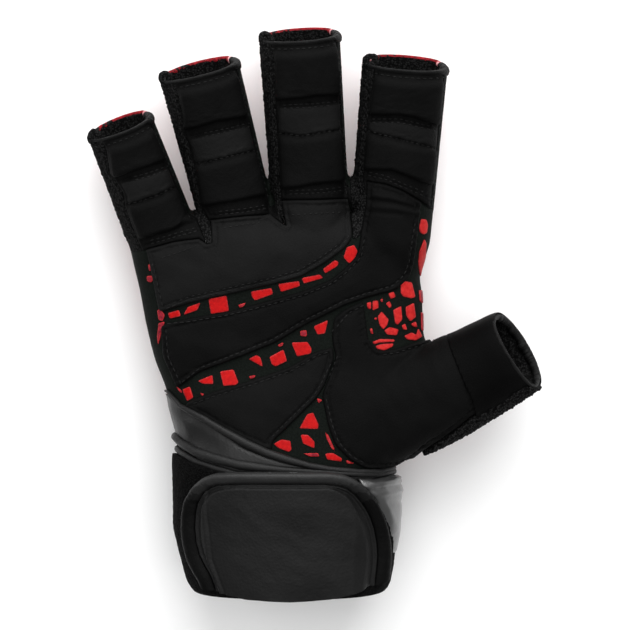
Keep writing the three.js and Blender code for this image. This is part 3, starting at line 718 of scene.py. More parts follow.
def leather_material(name, dark, light, roughness, grain, bump, specular=0.5, coat=0.0):
    """Leather: fine grain, slow changes of shade and roughness, and a bump for the grain."""
    recipe = Recipe(name)
    fine = recipe.texture("Noise", grain, Detail=6.0, Roughness=0.62).outputs["Fac"]
    broad = recipe.texture("Noise", 0.07, Detail=3.0).outputs["Fac"]
    cells = recipe.texture("Voronoi", grain * 0.8).outputs["Distance"]
    colour = recipe.ramp(recipe.math("MULTIPLY_ADD", fine, 0.45, broad), 0.45, dark, 1.0, light)
    uneven = recipe.node("MapRange")
    uneven.inputs["To Min"].default_value = roughness - 0.06
    uneven.inputs["To Max"].default_value = roughness + 0.06
    recipe.links.new(broad, uneven.inputs["Value"])
    recipe.links.new(uneven.outputs["Result"], recipe.shader.inputs["Roughness"])
    recipe.bump(recipe.math("ADD", fine, cells), bump)
    recipe.shader.inputs["Coat Weight"].default_value = coat
    recipe.shader.inputs["Coat Roughness"].default_value = 0.3
    return recipe.finish(colour, roughness, specular)


def knit_material(name, dark, light, size, bump):
    """Knit or loop fabric: small cells that stand up from dark gaps."""
    recipe = Recipe(name)
    cells = recipe.texture("Voronoi", 1 / size).outputs["Distance"]
    fine = recipe.texture("Noise", 2 / size, Detail=4.0).outputs["Fac"]
    recipe.bump(recipe.math("SUBTRACT", fine, cells), bump, 0.0004)
    return recipe.finish(recipe.ramp(cells, 0.05, light, 0.6, dark), 0.9, 0.05)


def print_material(name, tiles):
    """Dark stretch fabric with a fine weave; with tiles, red cells printed on it."""
    recipe = Recipe(name)
    weave = recipe.texture("Voronoi", 2.4).outputs["Distance"]
    fine = recipe.texture("Noise", 1.6, Detail=4.0).outputs["Fac"]
    colour = recipe.ramp(fine, 0.3, (0.0018, 0.0026, 0.002), 0.75, (0.0048, 0.0066, 0.0052))
    if tiles:
        cells = recipe.texture("Voronoi", 0.125, Randomness=0.75, feature="DISTANCE_TO_EDGE")
        mask = recipe.node("MapRange")
        mask.inputs["From Min"].default_value = 0.115
        mask.inputs["From Max"].default_value = 0.135
        recipe.links.new(cells.outputs["Distance"], mask.inputs["Value"])
        mixer = recipe.node("Mix", data_type="RGBA")
        recipe.links.new(mask.outputs["Result"], mixer.inputs["Factor"])
        recipe.links.new(colour, mixer.inputs["A"])
        mixer.inputs["B"].default_value = (0.36, 0.005, 0.006, 1)
        colour = mixer.outputs["Result"]
    recipe.bump(weave, 0.35)
    return recipe.finish(colour, 0.75, 0.05)


def red_material(name, dark, light):
    """Red print on the fabric."""
    recipe = Recipe(name)
    fine = recipe.texture("Noise", 0.9, Detail=5.0).outputs["Fac"]
    recipe.bump(recipe.texture("Voronoi", 2.4).outputs["Distance"], 0.25)
    return recipe.finish(recipe.ramp(fine, 0.3, dark, 0.7, light), 0.6, 0.1)


def shade(value):
    return (value, value, value)


SUEDE = leather_material("black_suede", shade(0.0014), shade(0.0032), 0.7, 2.2, 0.35, specular=0.045)
LIGHT_SUEDE = leather_material("soft_black_suede", shade(0.0036), shade(0.007), 0.7, 1.9, 0.4, specular=0.06)
HEEL_SUEDE = leather_material("heel_black_suede", shade(0.0022), shade(0.0042), 0.7, 2.1, 0.35, specular=0.05)
DARK_SUEDE = leather_material("dark_suede", shade(0.0008), shade(0.0018), 0.6, 2.6, 0.35, specular=0.04)
KNIT = knit_material("side_knit_black", shade(0.0022), shade(0.021), 0.7, 0.8)
TERRY = knit_material("terry_black", shade(0.0016), shade(0.028), 0.8, 0.9)
PILE = knit_material("loop_pile", shade(0.0006), shade(0.006), 0.55, 0.9)
EDGE = leather_material("edge_binding", shade(0.002), shade(0.0095), 0.5, 2.4, 0.35, specular=0.2)
# Four copies of the tab edge's leather, each darker and less glossy than the last: painted shade, from the
# edge's lit top down to its shaded sides.
TAB_EDGE_PAINTED_SHADES = [
    leather_material(f"tab_edge_painted_shade_{k}", shade(value), shade(value * 2.4), 0.5, 2.0, 0.3, specular=gloss)
    for k, (value, gloss) in enumerate([(0.0075, 0.25), (0.0045, 0.18), (0.0022, 0.1), (0.001, 0.06)])
]
HEM = leather_material("hem_roll", shade(0.0035), shade(0.0085), 0.6, 2.4, 0.5, specular=0.09)
CUFF = leather_material("cuff_leather_satin", shade(0.001), shade(0.003), 0.38, 1.6, 0.2, specular=0.33)
GLOSS = leather_material("strap_leather_gloss", shade(0.017), shade(0.028), 0.32, 1.2, 0.2,
                         specular=0.8, coat=0.6)
TAB = leather_material("tab_leather", shade(0.003), shade(0.0065), 0.55, 1.3, 0.4, specular=0.15)
THREAD = leather_material("black_thread", shade(0.005), shade(0.013), 0.55, 4.0, 0.2, specular=0.1)
FABRIC = print_material("dark_stretch_fabric", False)
PRINTED = print_material("printed_stretch_fabric", True)
RED = red_material("red_print", (0.3, 0.001, 0.002), (0.42, 0.003, 0.003))
PINK = red_material("pink_print", (0.33, 0.006, 0.007), (0.47, 0.02, 0.018))
DARK_RED = red_material("dark_red_print", (0.1, 0.004, 0.01), (0.3, 0.015, 0.03))
# A paler pink red for the tiles' rims: painted highlight along the raised print's edges.
TILE_EDGE_PAINTED_HIGHLIGHT = red_material("red_print_painted_highlight", (0.22, 0.004, 0.008), (0.42, 0.03, 0.03))
HEM_RED = red_material("hem_red_print", (0.1, 0.003, 0.006), (0.3, 0.012, 0.018))
# A pale pink for the two ends of the hems' red band: painted highlight.
HEM_END_PAINTED_HIGHLIGHT = red_material("hem_print_painted_highlight", (0.35, 0.1, 0.12), (0.75, 0.42, 0.42))


# Pieces


def make_mesh(name, points, triangles):
    """A Blender mesh in metres from points in the glove's millimetres."""
    places = (np.asarray(points) + SHIFT) * METRE
    mesh = bpy.data.meshes.new(name)
    mesh.vertices.add(len(places))
    mesh.vertices.foreach_set("co", places.astype(np.float32).ravel())
    mesh.loops.add(len(triangles) * 3)
    mesh.loops.foreach_set("vertex_index", triangles.astype(np.int32).ravel())
    mesh.polygons.add(len(triangles))
    mesh.polygons.foreach_set("loop_start", np.arange(0, len(triangles) * 3, 3, dtype=np.int32))
    mesh.update(calc_edges=True)
    mesh.validate()
    return mesh


def thin_out(piece, keep):
    """Fewer triangles where a piece is smooth, down to a share of them."""
    thinner = piece.modifiers.new("thinner", "DECIMATE")
    thinner.ratio = keep
    graph = bpy.context.evaluated_depsgraph_get()
    thinned = bpy.data.meshes.new_from_object(piece.evaluated_get(graph))
    piece.modifiers.clear()
    mesh = piece.data
    piece.data = thinned
    bpy.data.meshes.remove(mesh)


def add_piece(name, points, triangles, materials, slot, replaces=(), indices=None, keep=1.0):
    """A piece of the glove that rides on its one body, with a material number for each triangle."""
    mesh = make_mesh(name, points, triangles)
    piece = put(name, mesh)
    for material in materials if isinstance(materials, (list, tuple)) else [materials]:
        mesh.materials.append(material)
    if indices is not None:
        mesh.polygons.foreach_set("material_index", indices.astype(np.int32))
    mesh.polygons.foreach_set("use_smooth", np.full(len(mesh.polygons), True))
    if keep < 1:
        thin_out(piece, keep)
    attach(piece, "root")
    if replaces:
        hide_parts(*replaces)
    return piece


def numbered(triangles, upper, rest):
    """Material numbers of a walled piece: its upper triangles' own, and one for all the rest."""
    indices = np.full(len(triangles), rest)
    indices[: len(upper)] = upper
    return indices


def finger_outline(index):
    """The charted region of a finger, from its crease to past its opening."""
    names = list(FINGERS)
    left = OUTER_SEAMS[0] if index == 0 else FORKS[index - 1]
    right = OUTER_SEAMS[1] if index == len(names) - 1 else FORKS[index]
    crease = CREASES[names[index]]
    return [*left, *right[::-1], *crease[::-1]]


MM_PER_PIXEL = 1 / PIXELS_PER_MM
finger_outlines = [finger_outline(i) for i in range(len(FINGERS))]
THUMB_OUTLINE = [*THUMB_SEAM, (640, 500), (640, 250)]

skin_seen = picture(skin_points)
finger_fields = [chart_distance(skin_seen, outline) * MM_PER_PIXEL for outline in finger_outlines]
thumb_field = chart_distance(skin_seen, THUMB_OUTLINE) * MM_PER_PIXEL
WRIST_END = 4.0  # where the shell begins along the glove
surfaces = []  # the pieces' upper sides, which the stitches are laid on


def edge_rise(distance, width):
    """A rounded edge: nought at the edge and one from a width inwards."""
    t = np.clip(distance / width, 0, 1)
    return np.sqrt(np.maximum(1 - (1 - t) ** 2, 0))


def shell_piece():
    """The printed fabric round the hand, open at the wrist, fingers and thumb."""
    field = np.minimum(-np.max(finger_fields, axis=0), -thumb_field) - SEAM
    field = np.minimum(field, skin_points[:, 1] - WRIST_END)
    points, normals, triangles = cut(*skin, field)
    top = points + normals * (noise(points, 14, 3) * 0.15)[:, None]
    back = normals[triangles].mean(1)[:, 2] < BACK_SIDE
    solid, faces = walled(top, points - normals * CLOTH, triangles)
    add_piece("hand_shell_fabric", solid, faces, [FABRIC, PRINTED], "printed_fabric",
              ["hand_shell"], numbered(faces, back, 0), keep=0.45)


shell_piece()

# Fine skin on the palm's side, which the leather, the pads and the tiles are cut from
palm = finer(*subset(*skin, (skin_points[:, 2] > 8) & (skin_seen[:, 1] < 500)))
palm_points, palm_normals, palm_triangles = palm
palm_seen = picture(palm_points)
palm_fingers = [chart_distance(palm_seen, outline) * MM_PER_PIXEL for outline in finger_outlines]
palm_thumb = chart_distance(palm_seen, THUMB_OUTLINE) * MM_PER_PIXEL

# Seams across each finger's face, from its opening to its crease, charted in pixels:
# lower end of the first pad, first seam, second seam, lower end of the last pad, last seam
FACE_LINES = {
    "little": [[(108, 180), (125, 173), (140, 168), (168, 159)], [(133, 177), (145, 174), (168, 166)],
               [(127, 204), (140, 201), (155, 196), (174, 187)],
               [(137, 240), (160, 233), (175, 230), (194, 224)], [(150, 244), (165, 240), (197, 231)]],
    "ring": [[(186, 129), (200, 126), (215, 121), (247, 117)], [(203, 133.5), (220, 130), (250, 123)],
             [(197, 163), (210, 161), (235, 155), (256, 150)],
             [(203, 206), (220, 203), (235, 201), (266, 195)], [(218, 215), (245, 212), (268, 208)]],
    "middle": [[(275, 100), (300, 98), (315, 95.5), (341, 95)], [(282, 105), (310, 104), (341, 101)],
               [(278, 133), (290, 134), (300, 136), (312, 134), (341, 129)],
               [(281, 189), (300, 187), (315, 184), (347, 181)], [(288, 194), (320, 193), (347, 190)]],
    "index": [[(368, 115), (400, 114), (412, 116), (425, 121), (438, 126)],
              [(371, 119), (400, 119), (437, 128)], [(367, 130), (380, 134), (400, 139), (437, 149)],
              [(364, 170), (392, 170), (405, 175), (418, 181), (436, 187)],
              [(367, 175), (385, 179), (400, 186), (415, 192), (433, 200)]],
}
# The pads between a finger's levels, which are its rim, its five lines and its crease: the upper and
# lower level, the height in millimetres, and how far its upper and lower ends are rounded, in pixels
PADS = [(0, 1, 3.0, 9, 4.5), (2, 3, 1.2, 9, 5), (3, 4, 2.6, 9, 4.5), (5, 6, 0.5, 4, 4)]
SEWN_LEVELS = ((2, 0.35), (3, 0.3), (5, 0.35), (6, 0.3))  # a level and the depth of its seam


def above_line(places, line):
    """How far each place is above a charted line that runs on past its ends, in pixels."""
    corners = np.asarray(line, float)
    first = corners[0] + (corners[0] - corners[1]) / np.hypot(*(corners[0] - corners[1])) * 60
    last = corners[-1] + (corners[-1] - corners[-2]) / np.hypot(*(corners[-1] - corners[-2])) * 60
    corners = np.array([first, *corners, last])
    slope = math.atan2(last[1] - first[1], last[0] - first[0])
    return (np.interp(places[:, 0], corners[:, 0], corners[:, 1]) - places[:, 1]) * math.cos(slope)


def right_of(places, line):
    """How far each place is to the right of a charted line that runs down the picture, in pixels."""
    turned = [(y, x) for x, y in line]
    return -above_line(places[:, ::-1], turned)


def pad_profile(places, seen, lines, crease, rim, seed):
    """Heights of a finger's padding over its leather, in millimetres."""
    levels = [rim] + [above_line(seen, line) for line in [*lines, crease]]
    height = np.zeros(len(seen))
    for upper, lower, lift, soft_top, soft_end in PADS:
        top, end = -levels[upper], levels[lower]
        height += lift * edge_rise(top, soft_top) * edge_rise(end, soft_end) * ((top > 0) & (end > 0))
    for level, depth in SEWN_LEVELS:
        near = bell(levels[level], 2.2)
        height -= depth * bell(levels[level], 1.1)
        height += near * noise(places, 1.9, seed) * 0.34
    folds = bell(levels[3] - 6, 3) + bell(levels[1] - 8, 4)
    height += folds * noise(places * [0.35, 1, 1], 2.6, seed + 1) * 0.18
    return height


def finger_face(index, name):
    """The padded leather on a finger's palm side."""
    digit = digits[name]
    lines = FACE_LINES[name]
    radius = FINGER_BREADTH / 2
    v, angle, reach = digit.read(palm_points)
    region = np.minimum(palm_fingers[index] - SEAM, (1.0 - v) * digit.length + 0.2)
    region = np.where(reach > OWN_REACH, -1.0, region)
    left = right_of(palm_seen, FACE_EDGES[name]) * MM_PER_PIXEL
    right = np.radians(angle - FACE_FROM) * radius
    face = np.minimum(np.minimum(left, right) - SEAM, region)
    points, normals, inner, triangles = cut(*palm, face, face)
    seen = picture(points)
    crown = edge_rise(inner - 0.6, 3.6)
    v, angle, _ = digit.read(points)
    rim = (v - 1) * digit.length * PIXELS_PER_MM + 7
    side = edge_rise(np.radians(angle - FACE_FROM) * radius - 2.5, 5.5)
    height = 0.3 + (0.25 + 0.55 * side) * edge_rise(inner, 0.8)
    height += pad_profile(points, seen, lines, CREASES[name][-4:], rim, 200 + index) * crown * side
    height -= 0.3 * bell(inner - 1.4, 0.4)
    height += noise(points, 9, 20 + index) * 0.12 * crown + noise(points, 2, 30 + index) * 0.05
    top = points + normals * np.maximum(height, 0.15)[:, None]
    softer = (above_line(seen, lines[1]) < -2) & (above_line(seen, lines[2]) > 1) & (inner > 1.2)
    solid, faces = walled(top, points - normals * CLOTH, triangles)
    piece = add_piece(f"finger_face_{name}_leather", solid, faces, [SUEDE, LIGHT_SUEDE], "suede_leather",
                      [f"finger_face_{name}"], numbered(faces, softer[triangles].all(1), 0))
    surfaces.append((top, triangles))


def finger_cloth(index, name):
    """The knit strip along a finger's left side, and the printed fabric of its back."""
    digit = digits[name]
    radius = FINGER_BREADTH / 2
    v, angle, reach = digit.read(skin_points)
    end = 1 - 0.4 * HEM_RADIUS / digit.length
    region = np.minimum(finger_fields[index] - SEAM, (end - v) * digit.length)
    region = np.where(reach > OWN_REACH, -1.0, region)
    turned = np.where(angle < FACE_FROM - 60, angle + 360, angle)
    left = right_of(skin_seen, FACE_EDGES[name]) * MM_PER_PIXEL
    gusset = np.minimum(-left, np.radians(GUSSET_TO - turned) * radius) - SEAM
    past = np.where(turned < FACE_FROM, turned + 360, turned)
    back = np.minimum(np.radians(past - GUSSET_TO), np.radians(360 + FACE_FROM - past)) * radius - SEAM
    for part, field, slot, front, behind in (("gusset", gusset, "side_knit", KNIT, KNIT),
                                             ("back", back, "printed_fabric", FABRIC, PRINTED)):
        points, normals, triangles = cut(*skin, np.minimum(field, region))
        height = np.full(len(points), 0.1)
        if part == "gusset":
            points, normals, triangles = finer(points, normals, triangles)
            height = 0.55 + noise(points, 1.7, 31) * 0.25 + noise(points, 1.1, 32) * 0.16
            height *= smooth_step(0, 24, above_line(picture(points), CREASES[name]))
        top = points + normals * height[:, None]
        solid, faces = walled(top, points - normals * CLOTH, triangles)
        indices = numbered(faces, normals[triangles].mean(1)[:, 2] < BACK_SIDE, 2)
        add_piece(f"finger_{part}_{name}_cloth", solid, faces, [front, behind, KNIT], slot,
                  [f"finger_{part}_{name}"], indices)
        surfaces.append((top, triangles))


def cord_ring(centres, outwards, radius, sides=12):
    """A round cord laid in a closed loop."""
    before, after = np.roll(centres, 1, axis=0), np.roll(centres, -1, axis=0)
    tangent = after - before
    tangent /= np.linalg.norm(tangent, axis=1)[:, None]
    outward = outwards - np.einsum("ij,ij->i", outwards, tangent)[:, None] * tangent
    outward /= np.linalg.norm(outward, axis=1)[:, None]
    across = np.cross(tangent, outward)
    turns = np.linspace(0, 2 * math.pi, sides, endpoint=False)[None, :, None]
    radius = np.broadcast_to(np.asarray(radius, float), (len(centres),))
    rings = centres[:, None] + radius[:, None, None] * (
        outward[:, None] * np.cos(turns) + across[:, None] * np.sin(turns))
    return rings.reshape(-1, 3), grid_triangles(len(centres), sides, True, True, ("adb", "acd"))


# The hem round an opening: degrees round it, radius, how far its outside stands out, how far it runs on
HEM_ROWS = [
    (-30, 1.1, 0.35, 0.0), (0, 1.55, 0.75, 0.0), (18, 1.4, 0.9, 0.1), (40, 0.55, 0.95, 0.5),
    (90, 0.48, 1.1, 0.6), (145, 0.55, 0.85, 0.4), (175, 0.9, 0.3, 0.0), (205, 0.75, 0.2, 0.0),
    (270, 0.62, 0.2, 0.1), (318, 0.7, 0.3, 0.1), (330, 1.1, 0.35, 0.0),
]


# The thumb's hem: a thin line on the near side and a wide band on the far side
THUMB_HEM_ROWS = [(-30, 1.3, 0.5, 0.6), (0, 0.9, 0.6, 0.2), (30, 0.55, 1.6, 0.1), (90, 0.5, 1.7, 0.1),
                  (150, 0.55, 1.6, 0.1), (180, 0.9, 0.6, 0.2), (210, 1.3, 0.5, 0.6), (270, 1.5, 0.3, 1.0),
                  (330, 1.3, 0.5, 0.6)]


def hem_piece(name, digit, node, seed, curl_pixel=None):
    """The rolled hem: thin on the palm's side, thick on the right, printed on the back's side, with a painted
    highlight at each end of the print.
    """
    count, sides = 300, 12
    angles = np.radians(np.linspace(-30, 330, count, endpoint=False))
    degrees = np.degrees(angles)
    rows = np.array(HEM_ROWS if curl_pixel else THUMB_HEM_ROWS).T
    radius, outside, onward = (np.interp(degrees, rows[0], row) for row in rows[1:])
    wide = noise(digit.points(angles, np.ones(count)), 4, seed)
    fine = noise(digit.points(angles, np.ones(count)), 1.5, seed + 1)
    radius = radius * (1 + 0.13 * wide + 0.15 * fine)
    v = 1 + (onward - radius) / digit.length
    centres = digit.points(angles, v, outside - radius)
    outwards = digit.points(angles, v, outside + 1.0) - centres
    points, triangles = cord_ring(centres, outwards, radius, sides)
    indices = np.zeros(len(triangles), int)
    if curl_pixel:
        station = np.tile(np.repeat(np.arange(count), sides), 2)
        around = degrees[station]
        places = points[triangles].mean(1)
        away = np.einsum("ij,ij->i", places - centres[station], outwards[station])
        patchy = (around > 200) & (around < 258) & (noise(places, 1.7, seed + 2) > 0.0)
        plain = (around >= 258) & (around < 325)
        indices[patchy | plain] = 1
        indices[(patchy | plain) & (away > 0.15)] = 2
        # Painted highlight: pale pink at each end of the red band.
        indices[(np.abs(around - 203) < 6) | (np.abs(around - 327) < 4)] = 3
        curl_points, curl_triangles = curl(digit, curl_pixel, seed + 3)
        points, triangles = joined([(points, triangles), (curl_points, curl_triangles)])
        indices = np.concatenate([indices, np.full(len(curl_triangles), 4)])
    add_piece(name, points, triangles, [HEM, HEM_RED, DARK_RED, HEM_END_PAINTED_HIGHLIGHT, KNIT], "bound_edge", [node], indices)


def curl(digit, pixel, seed):
    """The side strip's end, rolled up on itself at the left of the opening."""
    turns = np.linspace(0, 2 * math.pi, 48, endpoint=False)[:, None]
    middle = on_level(*pixel, digit.centres[-1][2] + 5.5)
    radius = 1.6 + 0.2 * np.sin(2 * turns + seed)
    across, along = np.array([1.0, 0, 0]), np.array([0, 1.0, 0])
    centres = middle + radius * (across * np.cos(turns) * 0.95 + along * np.sin(turns))
    outwards = centres - middle
    thick = 1.1 * (1 + 0.16 * noise(centres, 2.0, seed) + 0.1 * noise(centres, 1.0, seed + 1))
    return cord_ring(centres, outwards, thick, 12)


for number, finger_name in enumerate(FINGERS):
    finger_face(number, finger_name)
    finger_cloth(number, finger_name)
    hem_piece(f"finger_hem_{finger_name}_roll", digits[finger_name], f"finger_hem_{finger_name}",
              40 + 5 * number, CURLS[finger_name])
hem_piece("thumb_hem_roll", thumb, "thumb_hem", 70)

# Outlines of the palm's leather, charted in pixels
KNUCKLE_PANEL = [(140, 225), (150, 262), (160, 312), (190, 303), (230, 294), (270, 285), (300, 277),
                 (325, 263), (345, 248), (352, 238), (350, 180), (195, 182)]
SWEEP_PANEL = [(162, 325), (164, 356), (178, 388), (200, 372), (240, 357), (275, 343), (305, 325),
               (325, 315), (345, 305), (366, 298), (395, 290), (408, 278), (413, 262), (416, 240),
               (420, 205), (426, 165), (366, 165), (360, 240), (357, 255), (345, 268), (330, 280),
               (300, 292), (260, 303), (230, 311), (190, 318)]
HEEL_PANEL = [(188, 402), (210, 393), (250, 381), (290, 367), (315, 352), (333, 347), (334, 360),
              (325, 385), (317, 398), (300, 415), (285, 430), (273, 441), (268, 470), (160, 460)]
THUMB_PANEL = [(332, 336), (334, 318), (346, 309), (363, 301), (368, 340), (377, 351), (395, 349),
               (410, 344), (424, 341), (430, 340), (450, 310), (485, 433), (440, 490), (362, 467),
               (350, 460), (335, 445), (328, 425), (322, 395), (331, 372), (336, 356), (333, 346)]
TERRY_STRIP = [(404, 464), (424, 448), (440, 438), (455, 428), (470, 416), (485, 407), (500, 399),
               (511, 390), (524, 383), (560, 380), (560, 480), (420, 500)]
CUFF_LINE = [(-200, 250), (165, 392), (178, 406), (203, 419), (224, 431.5), (246, 443.5), (267, 453),
             (288, 460), (310, 466), (331, 469.5), (360, 472), (381, 472), (392, 469), (403, 464.5),
             (430, 456), (700, 440)]
BINDING_RADII = [(160, 0.4), (175, 0.75), (190, 1.1), (224, 1.45), (250, 1.6), (290, 1.4), (320, 1.05),
                 (400, 0.9)]
PIPING_LINE = [(-200, 290), (172, 433), (181, 443), (196, 452), (217, 459), (238, 464.5), (260, 467.5),
               (281, 470), (303, 471.5), (346, 474), (380, 475), (400, 470), (430, 464), (700, 450)]
PIPING_RADII = [(160, 1.4), (185, 1.5), (205, 1.7), (240, 1.7), (281, 1.3), (320, 1.1), (400, 1.0)]
PIPING_PITCH = 10.0  # pixels between the two pipings
LOWER_RADII = [(160, 1.35), (200, 1.2), (400, 1.0)]


def line_height(line, x):
    rows = np.array(line, float)
    return np.interp(x, rows[:, 0], rows[:, 1])


def above_cuff(seen):
    """How far each place is above the cuff, in millimetres; to the right of the wrist nothing limits it."""
    line = [*CUFF_LINE[:-3], (403, 465), (414, 485), (700, 700)]
    return (line_height(line, seen[:, 0]) - seen[:, 1]) * MM_PER_PIXEL


# Soft folds in the palm's leather, charted in pixels: a line, a height in millimetres and a half width
PALM_FOLDS = [
    ([(374, 195), (390, 197), (412, 203)], 0.5, 2.5), ([(372, 200), (395, 203), (418, 209)], -0.4, 2.2),
    ([(372, 206), (395, 208), (416, 213)], 0.4, 2.6), ([(371, 212), (400, 214)], -0.3, 2.2),
    ([(222, 223), (264, 219)], -0.25, 2.5), ([(290, 206), (344, 205)], -0.2, 2.5),
    ([(152, 254), (195, 244)], -0.2, 2.5), ([(160, 330), (190, 345), (225, 350)], 0.15, 6.0),
]


def panel_piece(name, node, outline, seed, material, terry=False):
    """A panel of the palm's leather; the thumb's leaves room for the terry strip."""
    field = chart_distance(palm_seen, rounded(outline, 4)) * MM_PER_PIXEL
    field = np.minimum(field, -np.max(palm_fingers, axis=0) - SEAM)
    field = np.minimum(field, above_cuff(palm_seen) - BINDING_RADIUS)
    field = np.minimum(field, (palm_points[:, 2] - PALM_SIDE) * 0.7)
    if terry:
        field = np.minimum(field, -chart_distance(palm_seen, TERRY_STRIP) * MM_PER_PIXEL - GAP / 2)
    points, normals, inner, seen, triangles = cut(*palm, np.minimum(field, -palm_thumb), field, palm_seen)
    height = GAP + 1.0 * edge_rise(inner, 0.9) + 0.8 * (1 - np.exp(-np.maximum(inner - 1.6, 0) / 3.5))
    height -= 0.35 * bell(inner - 1.7, 0.45)
    height += noise(points, 1.9, seed + 3) * 0.26 * bell(inner - 1.5, 1.0)
    height += (noise(points, 22, seed) * 0.35 + noise(points, 8, seed + 1) * 0.12) * edge_rise(inner - 1, 6)
    for line, lift, width in PALM_FOLDS:
        height += lift * bell(line_distance(seen, line), width)
    top = points + normals * height[:, None]
    bottom = points + normals * 0.1
    piece = add_piece(name, *walled(top, bottom, triangles), material, "suede_leather", [node], keep=0.6)
    surfaces.append((top, triangles))


panel_piece("palm_knuckle_leather", "palm_panel_knuckle", KNUCKLE_PANEL, 61, LIGHT_SUEDE)
panel_piece("palm_sweep_leather", "palm_panel_sweep", SWEEP_PANEL, 63, SUEDE)
panel_piece("palm_heel_leather", "palm_panel_heel", HEEL_PANEL, 65, HEEL_SUEDE)
panel_piece("thumb_leather", "thumb_panel", THUMB_PANEL, 67, SUEDE, terry=True)


def thumb_sleeve():
    """The thumb's dark leather, thinner and rounded towards its opening."""
    v, _, _ = thumb.read(skin_points)
    points, normals, triangles = cut(*skin, np.minimum(thumb_field, (1.0 - v) * thumb.length))
    v, _, _ = thumb.read(points)
    rim = (1 - v) * thumb.length
    height = 1.1 + 0.8 * edge_rise(rim, 5) + noise(points, 12, 71) * 0.15
    top = points + normals * height[:, None]
    thin = 1.9 * bell(rim, 3) - CLOTH
    solid, faces = walled(top, points + normals * thin[:, None], triangles)
    add_piece("thumb_sleeve_leather", solid, faces, [DARK_SUEDE, KNIT], "suede_leather",
              ["thumb_sleeve"], numbered(faces, np.zeros(len(triangles), int), 1))
    surfaces.append((top, triangles))


def thumb_terry():
    """The terry strip along the thumb's lower side."""
    field = chart_distance(palm_seen, TERRY_STRIP) * MM_PER_PIXEL - GAP / 2
    field = np.minimum(field, above_cuff(palm_seen) - BINDING_RADIUS)
    v, _, _ = thumb.read(palm_points)
    field = np.minimum(field, (1.0 - v) * thumb.length)
    points, normals, triangles = cut(*palm, field)
    height = 2.15 + noise(points, 1.6, 73) * 0.3 + noise(points, 1.0, 74) * 0.15
    height *= smooth_step(385, 430, picture(points)[:, 0])
    top = points + normals * height[:, None]
    add_piece("thumb_terry_loops", *walled(top, points + normals * 0.1, triangles), TERRY,
              "terry_strip", ["thumb_terry"])
    surfaces.append((top, triangles))


thumb_sleeve()
thumb_terry()


# The wrist


PICTURE_LENGTH = 576  # pixels of the photo that the glove's length covers


def wrist_line(line, angles, offset, lower=0.0):
    """Shares of the glove's length where a charted line passes each angle of the wrist."""
    along = np.full(np.shape(angles), 0.25)
    for _ in range(25):
        seen = picture(hand_points(angles, along, offset))
        wanted = line_height(line, seen[:, 0]) + lower
        along = along + (seen[:, 1] - wanted) / PICTURE_LENGTH * 0.8
    return np.clip(along, -0.02, 0.6)


def wrist_cord(name, node, line, lower, radii, material, seed):
    """A cord round the wrist along a charted line, with its radii charted along the picture."""
    angles = np.linspace(0, 2 * math.pi, CORD_STEPS, endpoint=False)
    along = wrist_line(line, angles, GAP + 1.2, lower)
    rows = np.array(radii, float).T
    radius = np.interp(picture(hand_points(angles, along, GAP + 1.2))[:, 0], *rows)
    centres = hand_points(angles, along, radius - 0.1)
    outwards = centres - hand_points(angles, along, 0.0)
    thick = radius * (1 + 0.05 * noise(centres, 9, seed) + 0.03 * noise(centres, 2, seed + 1))
    points, triangles = cord_ring(centres, outwards, thick, 16)
    add_piece(name, points, triangles, material, "bound_edge", [node])
    surfaces.append((points, triangles))


def wrist_grid(angles, alongs):
    """Points of the skin at a grid's angles and shares of the length, and the directions away from it."""
    flat = hand_points(angles, alongs, 0.0)
    away = hand_points(angles, alongs, 1.0) - flat
    away /= np.linalg.norm(away, axis=-1)[..., None]
    return flat.reshape(-1, 3), away.reshape(-1, 3)


def band_triangles(columns, rows, closed):
    return grid_triangles(columns, rows, closed, False, ("adc", "abd"))


def add_band(name, node, slot, material, angles, lows, highs, rows, rise, thickness, closed=True):
    """A wall round the wrist between two lines; rise gives its height at points and shares across it."""
    shares = np.linspace(0, 1, rows)
    grid_angles = np.broadcast_to(angles[:, None], (len(angles), rows))
    alongs = lows[:, None] + (highs - lows)[:, None] * shares[None]
    flat, away = wrist_grid(grid_angles, alongs)
    height = rise(flat, np.tile(shares, len(angles)))
    top = flat + away * height[:, None]
    bottom = flat + away * (height - thickness)[:, None]
    triangles = band_triangles(len(angles), rows, closed)
    add_piece(name, *walled(top, bottom, triangles), material, slot, [node])
    surfaces.append((top, triangles))


def cuff_rise(points, share):
    uneven = noise(points, 16, 81) * 0.2 + noise(points, 6, 82) * 0.07
    return GAP + 0.8 - 0.5 * smooth_step(0.7, 1.0, share) + uneven


def wrap_rise(points, share):
    ends = edge_rise(np.minimum(share + 0.02, 1 - share + 0.06) * 40, 4.5)
    pile = noise(points, 1.4, 84) * 0.12 + noise(points, 25, 85) * 0.25
    return GAP + 0.6 + 2.3 * ends + pile


def wrist_bands():
    """The smooth leather below the binding, and the wrap of loop fabric."""
    angles = np.linspace(0, 2 * math.pi, WRIST_SIDES, endpoint=False)
    upper = wrist_line(CUFF_LINE, angles, GAP)
    lower = np.minimum(wrist_line(PIPING_LINE, angles, GAP, 9.0), upper - 0.004)
    add_band("cuff_leather_band", "cuff_leather", "smooth_leather", CUFF, angles, lower, upper, 26,
             cuff_rise, 1.2)
    foot = np.full(len(angles), 0.012)
    head = wrist_line(PIPING_LINE, angles, GAP, PIPING_PITCH)
    add_band("wrist_wrap_pile", "wrist_wrap", "loop_fabric", PILE, angles, foot, head, 44, wrap_rise, 1.6)


wrist_bands()
wrist_cord("cuff_binding_roll", "cuff_binding", CUFF_LINE, 0.0, BINDING_RADII, EDGE, 86)
wrist_cord("wrap_piping_upper_roll", "wrap_piping_upper", PIPING_LINE, 0.0, PIPING_RADII, EDGE, 87)
wrist_cord("wrap_piping_lower_roll", "wrap_piping_lower", PIPING_LINE, PIPING_PITCH, LOWER_RADII, EDGE, 88)

